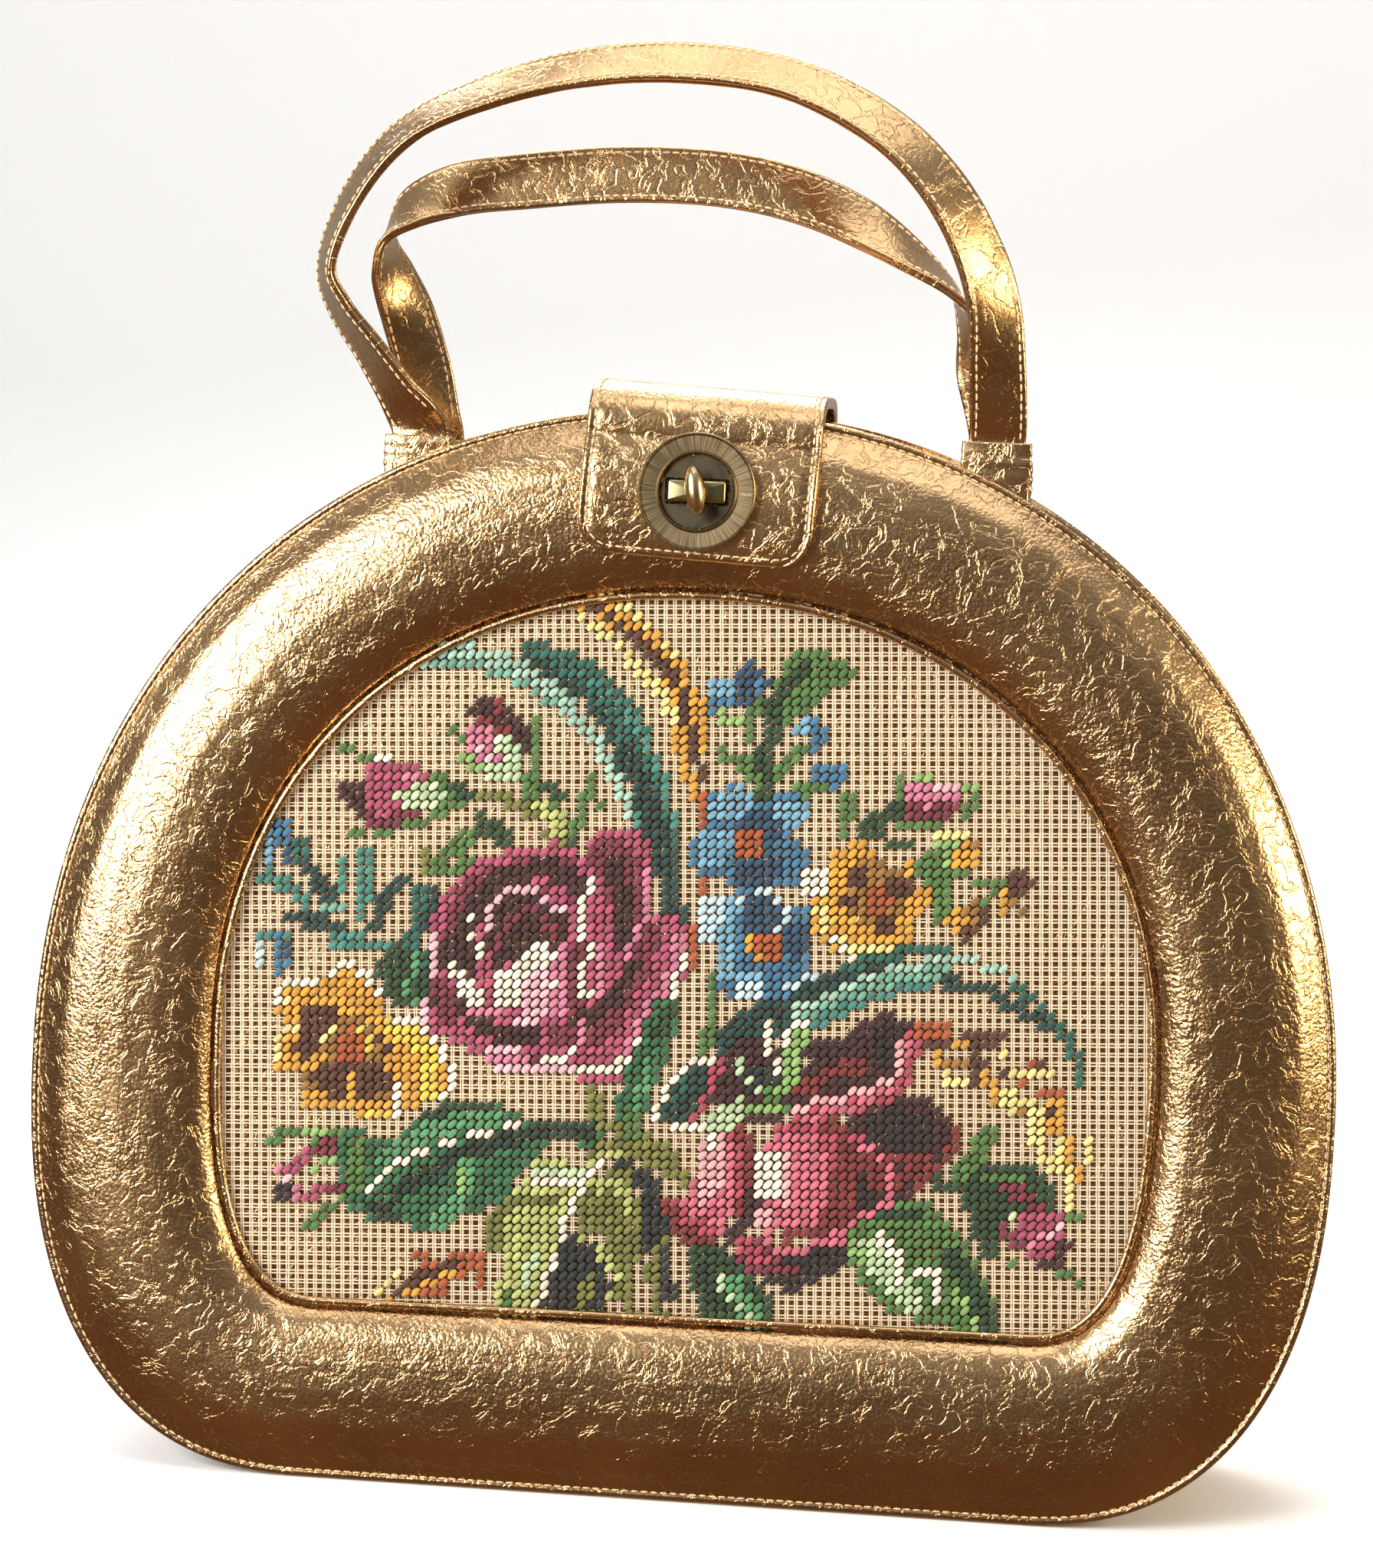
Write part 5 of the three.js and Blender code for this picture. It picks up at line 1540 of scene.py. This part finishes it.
# Turn lock: a spun brass disc with a bead round its edge and its well, brushed outwards from the
# middle and darkened with age. A bar stands through it, and an oval knob turns on the bar.
lock_diameter = 32
lock_thickness = 2.0
lock_rim_rise = 0.7
lock_bead = 0.9
lock_well_diameter = 20.2
knob_size = (5.6, 13.4, 6.0)
knob_lie = math.radians(9)
bar_size = (15.8, 6.0)
bar_bevel = 0.8
bar_foot = pad_rise + seat_gap
bar_top = lock_out + lock_thickness + lock_rim_rise + seat_gap


def on_lock(points):
    """Points about the lock's axis, their third value outwards, in the bag's frame."""
    points = np.asarray(points)
    return on_bag(points[..., 0], lock_height + points[..., 1], points[..., 2])


def brass_material(name, brushed, tone, rough):
    """Aged brass, with brush marks running out from the lock's axis if brushed."""
    material, tree, shader = new_material(name)
    start = node(tree, "ShaderNodeUVMap", uv_map="surface").outputs[0]
    spread = node(tree, "ShaderNodeMapping", {"Vector": start, "Scale": brushed})
    marks = node(tree, "ShaderNodeTexNoise", {"Vector": spread.outputs[0], "Scale": 1, "Detail": 4})
    stain = node(tree, "ShaderNodeTexNoise", {"Vector": start, "Scale": 160, "Detail": 3})
    bright = mix_colours(tree, between(tree, marks.outputs[0], 0.3, 0.7), tone,
                         tuple(min(1, value * 1.7) for value in tone[:3]) + (1,))
    tarnish = (0.10, 0.09, 0.06, 1)
    aged = mix_colours(tree, between(tree, stain.outputs[0], 0.42, 0.7, 0, 0.6), bright, tarnish)
    uneven = between(tree, marks.outputs[0], 0.3, 0.7, rough, rough + 0.14)
    set_inputs(shader, {"Base Color": aged, "Roughness": uneven, "Metallic": 1.0,
                        "Normal": bump(tree, marks.outputs[0], 0.00004)})
    return material


outer = lock_diameter / 2
well = lock_well_diameter / 2
ring_profile = np.array([
    (well, 0.0), (outer - 0.5, 0.0), (outer - 0.1, 0.3), (outer, 0.8), (outer, lock_thickness),
    (outer - 0.12, lock_thickness + 0.5), (outer - lock_bead / 2, lock_thickness + lock_rim_rise),
    (outer - lock_bead + 0.1, lock_thickness + 0.4), (outer - lock_bead - 0.1, lock_thickness - 0.05),
    (outer - 3, lock_thickness - 0.12), (well + lock_bead + 0.8, lock_thickness * 0.9),
    (well + lock_bead + 0.1, lock_thickness * 0.88), (well + lock_bead - 0.1, lock_thickness + 0.2),
    (well + lock_bead / 2, lock_thickness + lock_rim_rise * 0.8), (well + 0.12, lock_thickness + 0.3),
    (well, lock_thickness - 0.2),
])
ring_steps = 160
ring_angles = np.linspace(0, 2 * math.pi, ring_steps, endpoint=False)
ring_loops = []
for radius, height in ring_profile:
    circle = np.stack([radius * np.cos(ring_angles), radius * np.sin(ring_angles)], axis=1)
    ring_loops.append(on_lock(np.column_stack([circle, np.full(ring_steps, lock_out + height)])))
lock_ring = solid_from_loops("lock_ring_brass", np.array(ring_loops), "joined")
ring_reach = np.repeat(ring_profile[:, :1], ring_steps, axis=1)
lay_uv(lock_ring, ring_angles + 0 * ring_reach, ring_reach * millimetre)
lock_ring.data.set_sharp_from_angle(angle=math.radians(50))
lock_ring.data.materials.append(brass_material("brushed_brass", (28, 90, 1), (0.21, 0.155, 0.085, 1), 0.3))
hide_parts("lock_ring")
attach(lock_ring, "bag")


def brass_plain(name, tone, rough):
    """Aged brass on a piece of the frame, read from the bag's own place."""
    material, tree, shader = new_material(name)
    start = node(tree, "ShaderNodeTexCoord").outputs["Object"]
    stain = node(tree, "ShaderNodeTexNoise", {"Vector": start, "Scale": 260, "Detail": 4})
    aged = mix_colours(tree, between(tree, stain.outputs[0], 0.35, 0.7), tone,
                       tuple(value * 0.35 for value in tone[:3]) + (1,))
    uneven = between(tree, stain.outputs[0], 0.3, 0.7, rough, rough + 0.15)
    set_inputs(shader, {"Base Color": aged, "Roughness": uneven, "Metallic": 1.0})
    return material


dark_brass = brass_plain("well_brass", (0.12, 0.10, 0.065, 1), 0.35)
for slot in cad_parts["lock_plate"].material_slots:
    slot.material = dark_brass

bar_half = (bar_size[0] / 2, bar_size[1] / 2)
bar_rows = [(0.0, bar_foot), (0.0, bar_top - bar_bevel), (0.12 * bar_bevel, bar_top - 0.5 * bar_bevel),
            (0.5 * bar_bevel, bar_top - 0.12 * bar_bevel), (bar_bevel, bar_top)]
bar_loops = []
for inset, out in bar_rows:
    ring = []
    for sx, sy in ((1, 1), (-1, 1), (-1, -1), (1, -1)):
        for k in range(5):
            angle = math.radians(90 * k / 4)
            cx = bar_half[0] - bar_bevel
            cy = bar_half[1] - bar_bevel
            reach = bar_bevel - inset
            dx, dy = math.cos(angle) * reach, math.sin(angle) * reach
            if sx * sy < 0:
                dx, dy = math.sin(angle) * reach, math.cos(angle) * reach
            ring.append((sx * (cx + dx), sy * (cy + dy), out))
    bar_loops.append(on_lock(ring))
lock_bar = solid_from_loops("lock_bar_brass", np.array(bar_loops), "fan")
lock_bar.data.set_sharp_from_angle(angle=math.radians(40))
lock_bar.data.materials.append(brass_plain("bar_brass", (0.42, 0.36, 0.18, 1), 0.2))
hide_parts("lock_bar")
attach(lock_bar, "bag")

knob_rings = 20
knob_steps = 40
knob_loops = []
for i in range(knob_rings):
    pitch = math.pi * (i + 0.5) / knob_rings
    angle = np.linspace(0, 2 * math.pi, knob_steps, endpoint=False)
    x = math.sin(pitch) * np.cos(angle) * knob_size[0] / 2
    y = math.sin(pitch) * np.sin(angle) * knob_size[1] / 2
    out = bar_top + seat_gap + knob_size[2] / 2 * (1 - math.cos(pitch))
    spun_x = x * math.cos(knob_lie) - y * math.sin(knob_lie)
    spun_y = x * math.sin(knob_lie) + y * math.cos(knob_lie)
    knob_loops.append(on_lock(np.column_stack([spun_x, spun_y, np.full(knob_steps, out)])))
turn_knob = solid_from_loops("turn_knob_brass", np.array(knob_loops), "fan")
turn_knob.data.materials.append(brass_plain("knob_brass", (0.80, 0.60, 0.30, 1), 0.16))
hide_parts("turn_knob")
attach(turn_knob, "knob")


# Handles: two straps, each of two layers of leather glued and sewn along both edges. Their ends
# go down inside the mouth, where a collar holds each of them.
strap_width = 15.5
strap_thickness = 2.6
strap_half_spacing = 79
strap_foot = 262
strap_grip = 6
strap_lead = 1
board_thickness = 1.7
collar_wall = 1.1
collar_clearance = 0.35
collar_foot = 259
front_rise = 103
back_rise = 75
strap_reach = 7
collar_tops = {"front_left": 287, "front_right": 291.5, "back_left": 286, "back_right": 286}
strap_inset = board_thickness + seat_gap + collar_wall + collar_clearance + strap_thickness / 2
front_rows = [
    {"across": -1.02, "up": 0.045, "reach": 0.1, "turn": 20},
    {"across": -1.08, "up": 0.11, "reach": 0.3, "turn": 42},
    {"across": -1.185, "up": 0.225, "reach": 0.5, "turn": 55},
    {"across": -1.285, "up": 0.33, "reach": 0.7, "turn": 62},
    {"across": -1.335, "up": 0.43, "reach": 0.9, "turn": 68},
    {"across": -1.24, "up": 0.64, "reach": 1, "turn": 61},
    {"across": -1.06, "up": 0.805, "reach": 1, "turn": 59},
    {"across": -0.77, "up": 0.913, "reach": 1, "turn": 54},
    {"across": -0.45, "up": 0.98, "reach": 1, "turn": 48},
    {"across": -0.11, "up": 1, "reach": 1, "turn": 46},
    {"across": 0.25, "up": 0.965, "reach": 1, "turn": 48},
    {"across": 0.58, "up": 0.845, "reach": 1, "turn": 45},
    {"across": 0.77, "up": 0.71, "reach": 1, "turn": 40},
    {"across": 0.9, "up": 0.55, "reach": 0.9, "turn": 36},
    {"across": 0.965, "up": 0.41, "reach": 0.8, "turn": 28},
    {"across": 0.99, "up": 0.23, "reach": 0.5, "turn": 12},
    {"across": 1, "up": 0.1, "reach": 0.15, "turn": 3},
]
back_rows = [
    {"across": -1.015, "up": 0.08, "reach": 0.05, "turn": 178},
    {"across": -1.05, "up": 0.25, "reach": 0.1, "turn": 171},
    {"across": -1.11, "up": 0.45, "reach": 0.3, "turn": 157},
    {"across": -1.17, "up": 0.62, "reach": 0.6, "turn": 125},
    {"across": -1.185, "up": 0.735, "reach": 0.8, "turn": 88},
    {"across": -1.11, "up": 0.84, "reach": 1, "turn": 46},
    {"across": -0.95, "up": 0.92, "reach": 1, "turn": 20},
    {"across": -0.68, "up": 0.965, "reach": 1, "turn": 10},
    {"across": -0.34, "up": 1, "reach": 1, "turn": 8},
    {"across": 0, "up": 0.995, "reach": 1, "turn": 10},
    {"across": 0.26, "up": 0.945, "reach": 1, "turn": 18},
    {"across": 0.48, "up": 0.855, "reach": 1, "turn": 34},
    {"across": 0.67, "up": 0.735, "reach": 0.9, "turn": 60},
    {"across": 0.82, "up": 0.61, "reach": 0.8, "turn": 86},
    {"across": 0.89, "up": 0.48, "reach": 0.6, "turn": 120},
    {"across": 0.93, "up": 0.32, "reach": 0.4, "turn": 154},
    {"across": 0.98, "up": 0.15, "reach": 0.1, "turn": 174},
]


def curve_through(points, steps):
    """A centripetal Catmull-Rom curve: its points, and how far each lies along the points."""
    padded = np.concatenate([2 * points[:1] - points[1:2], points, 2 * points[-1:] - points[-2:-1]])
    made = []
    for i in range(len(points) - 1):
        before, start, end, after = padded[i:i + 4]
        first, second, third = (np.linalg.norm(b - a) ** 0.5
                                for a, b in ((before, start), (start, end), (end, after)))
        leave = (start - before) / first - (end - before) / (first + second) + (end - start) / second
        arrive = (end - start) / second - (after - start) / (second + third) + (after - end) / third
        leave, arrive = leave * second, arrive * second
        t = np.linspace(0, 1, steps, endpoint=False)[:, None]
        made.append(start + leave * t + (3 * (end - start) - 2 * leave - arrive) * t ** 2
                    + (2 * (start - end) + leave + arrive) * t ** 3)
    return np.concatenate(made + [points[-1:]])


def strap_line(rows, side, rise, reach, tops, foot_turn):
    """A strap's middle line and, along it, the directions of its width and of its face."""
    def foot(x, up):
        return on_bag(x, up, -strap_inset, side) / millimetre
    low = min(tops)
    spring = foot(0, low)
    above = [(row["across"] * strap_half_spacing, spring[1] - row["reach"] * reach,
              spring[2] + row["up"] * rise) for row in rows]
    ends = [[foot(sign * strap_half_spacing, up) for up in (strap_foot, top - strap_grip, top + strap_lead)]
            for sign, top in zip((-1, 1), tops)]
    points = np.array(ends[0] + above + ends[1][::-1])
    turns = np.array([foot_turn] * 3 + [row["turn"] for row in rows] + [foot_turn] * 3)
    steps = 16
    line = curve_through(points, steps)
    even = 9
    turned = np.interp(np.arange(len(line)) / steps, np.arange(len(turns)), turns)
    turned = np.convolve(np.pad(turned, even // 2, mode="edge"), np.full(even, 1 / even), mode="valid")
    angle = np.radians(turned)
    along = np.gradient(line, axis=0)
    along /= np.linalg.norm(along, axis=1, keepdims=True)
    backwards = np.array([0.0, 1.0, 0.0]) - along * along[:, 1:2]
    backwards /= np.linalg.norm(backwards, axis=1, keepdims=True)
    outwards = np.cross(along, backwards)
    wide = outwards * np.cos(angle)[:, None] + backwards * np.sin(angle)[:, None]
    return line, wide, np.cross(along, wide)


def strap_section():
    """Half widths and depths round a strap: two crowned layers with a seam between them."""
    half = strap_width / 2
    thick = strap_thickness / 2
    top = [(half - 0.22, 0.0), (half - 0.02, 0.28), (half, 0.7), (half - 0.12, 1.02), (half - 0.45, 1.2),
           (half - 0.9, 1.27), (half - 1.7, 1.16), (half - 2.5, 1.25), (half - 4.2, thick), (0.0, thick)]
    upper = top + [(-w, d) for w, d in top[-2::-1]]
    lower = [(-w, -d) for w, d in upper[1:-1]]
    return np.array(upper + lower)


def strap_piece(name, frame_line, seed):
    """A strap swept along its line, a little uneven like worn leather."""
    line, wide, deep = frame_line
    section = strap_section()
    walk = walked(line)
    loops = []
    for middle, w, d, distance in zip(line, wide, deep, walk):
        sway = noise.noise(Vector((distance / 23, seed, 0))) * 0.25
        dents = [noise.noise(Vector((distance / 9 + a / 11, a / 7, seed))) * 0.14 for a, _ in section]
        depth = section[:, 1] * (1 + np.array(dents))
        loops.append(middle + w * (section[:, :1] * (1 + 0.01 * sway)) + d * depth[:, None])
    made = solid_from_loops(name, np.array(loops) * millimetre, "fan")
    around = np.repeat(section[None, :, 0], len(line), axis=0)
    lay_uv(made, np.repeat(walk[:, None], len(section), axis=1) * millimetre, around * millimetre)
    return made


front_tops = (collar_tops["front_left"], collar_tops["front_right"])
back_tops = (collar_tops["back_left"], collar_tops["back_right"])
front_line = strap_line(front_rows, -1, front_rise, strap_reach, front_tops, 0)
back_line = strap_line(back_rows, 1, back_rise, strap_reach, back_tops, 180)
strap_seam = strap_width / 2 - 1.7
strap_skin = 1.2
strap_hidden = 32
strap_foil = foil_material("strap_foil", crackle_size=0.0012, crackle_depth=0.00003, wrinkle_depth=0.00006,
                           darker=0.15)
for name, line, seed in (("front_handle", front_line, 2.5), ("back_handle", back_line, 6.5)):
    strap = strap_piece(name + "_strap", line, seed)
    strap.data.materials.append(strap_foil)
    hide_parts(name)
    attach(strap, "bag")
    middle, wide, deep = line
    walk = walked(middle)
    shown = (walk > strap_hidden) & (walk < walk[-1] - strap_hidden)
    rows = [(middle + wide * across + deep * out)[shown] * millimetre
            for across in (-strap_seam, strap_seam) for out in (-strap_skin, strap_skin)]
    sewn_rows(name + "_stitches", rows)


# Collars: short sleeves of thin leather, sewn flat inside the panel and gathered into wrinkles
# where the strap's end comes out of them.
collar_rows = [
    {"up": 0, "swell": 0}, {"up": 0.5, "swell": 0.1}, {"up": 0.66, "swell": 0}, {"up": 0.73, "swell": 1},
    {"up": 0.78, "swell": 0.1}, {"up": 0.83, "swell": 1.1}, {"up": 0.88, "swell": 0.15},
    {"up": 0.925, "swell": 1}, {"up": 0.965, "swell": 0.2}, {"up": 0.985, "swell": 0.7},
    {"up": 1, "swell": 0.4},
]
collar_swell = 0.5
collar_wobble = 0.22


def collar_piece(name, x, top, side):
    """A collar: a rounded sleeve whose wall swells in wrinkles towards its mouth."""
    inner = (strap_width / 2 + collar_clearance, strap_thickness / 2 + collar_clearance)
    corner = 0.7
    around = []
    for sx, sy in ((1, 1), (-1, 1), (-1, -1), (1, -1)):
        turns = [math.radians(a) for a in (0, 30, 60, 90)]
        arc = [(math.cos(a), math.sin(a)) if sx * sy > 0 else (math.sin(a), math.cos(a)) for a in turns]
        around += [(sx, sy, a, b) for a, b in arc]
        if sy > 0 > sx or sy < 0 < sx:
            continue
        around += [(sx * k, sy, 0, 1) for k in (0.75, 0.5, 0.25, 0)] if sx * sy > 0 else []
    known = [row["up"] for row in collar_rows]
    ups = np.linspace(0, 1, 60)
    swells = np.interp(ups, known, [row["swell"] for row in collar_rows])
    swells = np.convolve(np.pad(swells, 1, mode="edge"), (0.25, 0.5, 0.25), mode="valid")
    loops = []

    def ring(grow_x, grow_y, up):
        made = []
        for sx, sy, a, b in around:
            wx = sx * (inner[0] + grow_x - corner) + math.copysign(1, sx) * a * corner
            wy = sy * (inner[1] + grow_y - corner) + sy * b * corner
            wobble = collar_wobble * noise.noise(Vector((wx / 5, up * 9, x))) * (grow_y > 0)
            wobble *= smooth_step(up, 0.5, 0.8)
            made.append((x + wx, collar_foot + up * (top - collar_foot), -strap_inset + wy + wobble))
        made = np.array(made)
        return on_bag(made[:, 0], made[:, 1], made[:, 2], side)
    loops.append(ring(0, 0, 0))
    loops += [ring(collar_wall + s * collar_swell, collar_wall + 0.3 * s * collar_swell, u)
              for u, s in zip(ups, swells)]
    loops.append(ring(0, 0, 1))
    return solid_from_loops(name, np.array(loops), "joined")


collar_foil = foil_material("collar_foil", own_map=False, crackle_depth=0.00004, wrinkle_depth=0.0001,
                            darker=0.2)
for name, sign, side in (("front_left", -1, -1), ("front_right", 1, -1), ("back_left", -1, 1),
                         ("back_right", 1, 1)):
    node_name = name.replace("_", "_collar_")
    collar = collar_piece(node_name + "_leather", sign * strap_half_spacing, collar_tops[name], side)
    collar.data.materials.append(collar_foil)
    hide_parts(node_name)
    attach(collar, "bag")
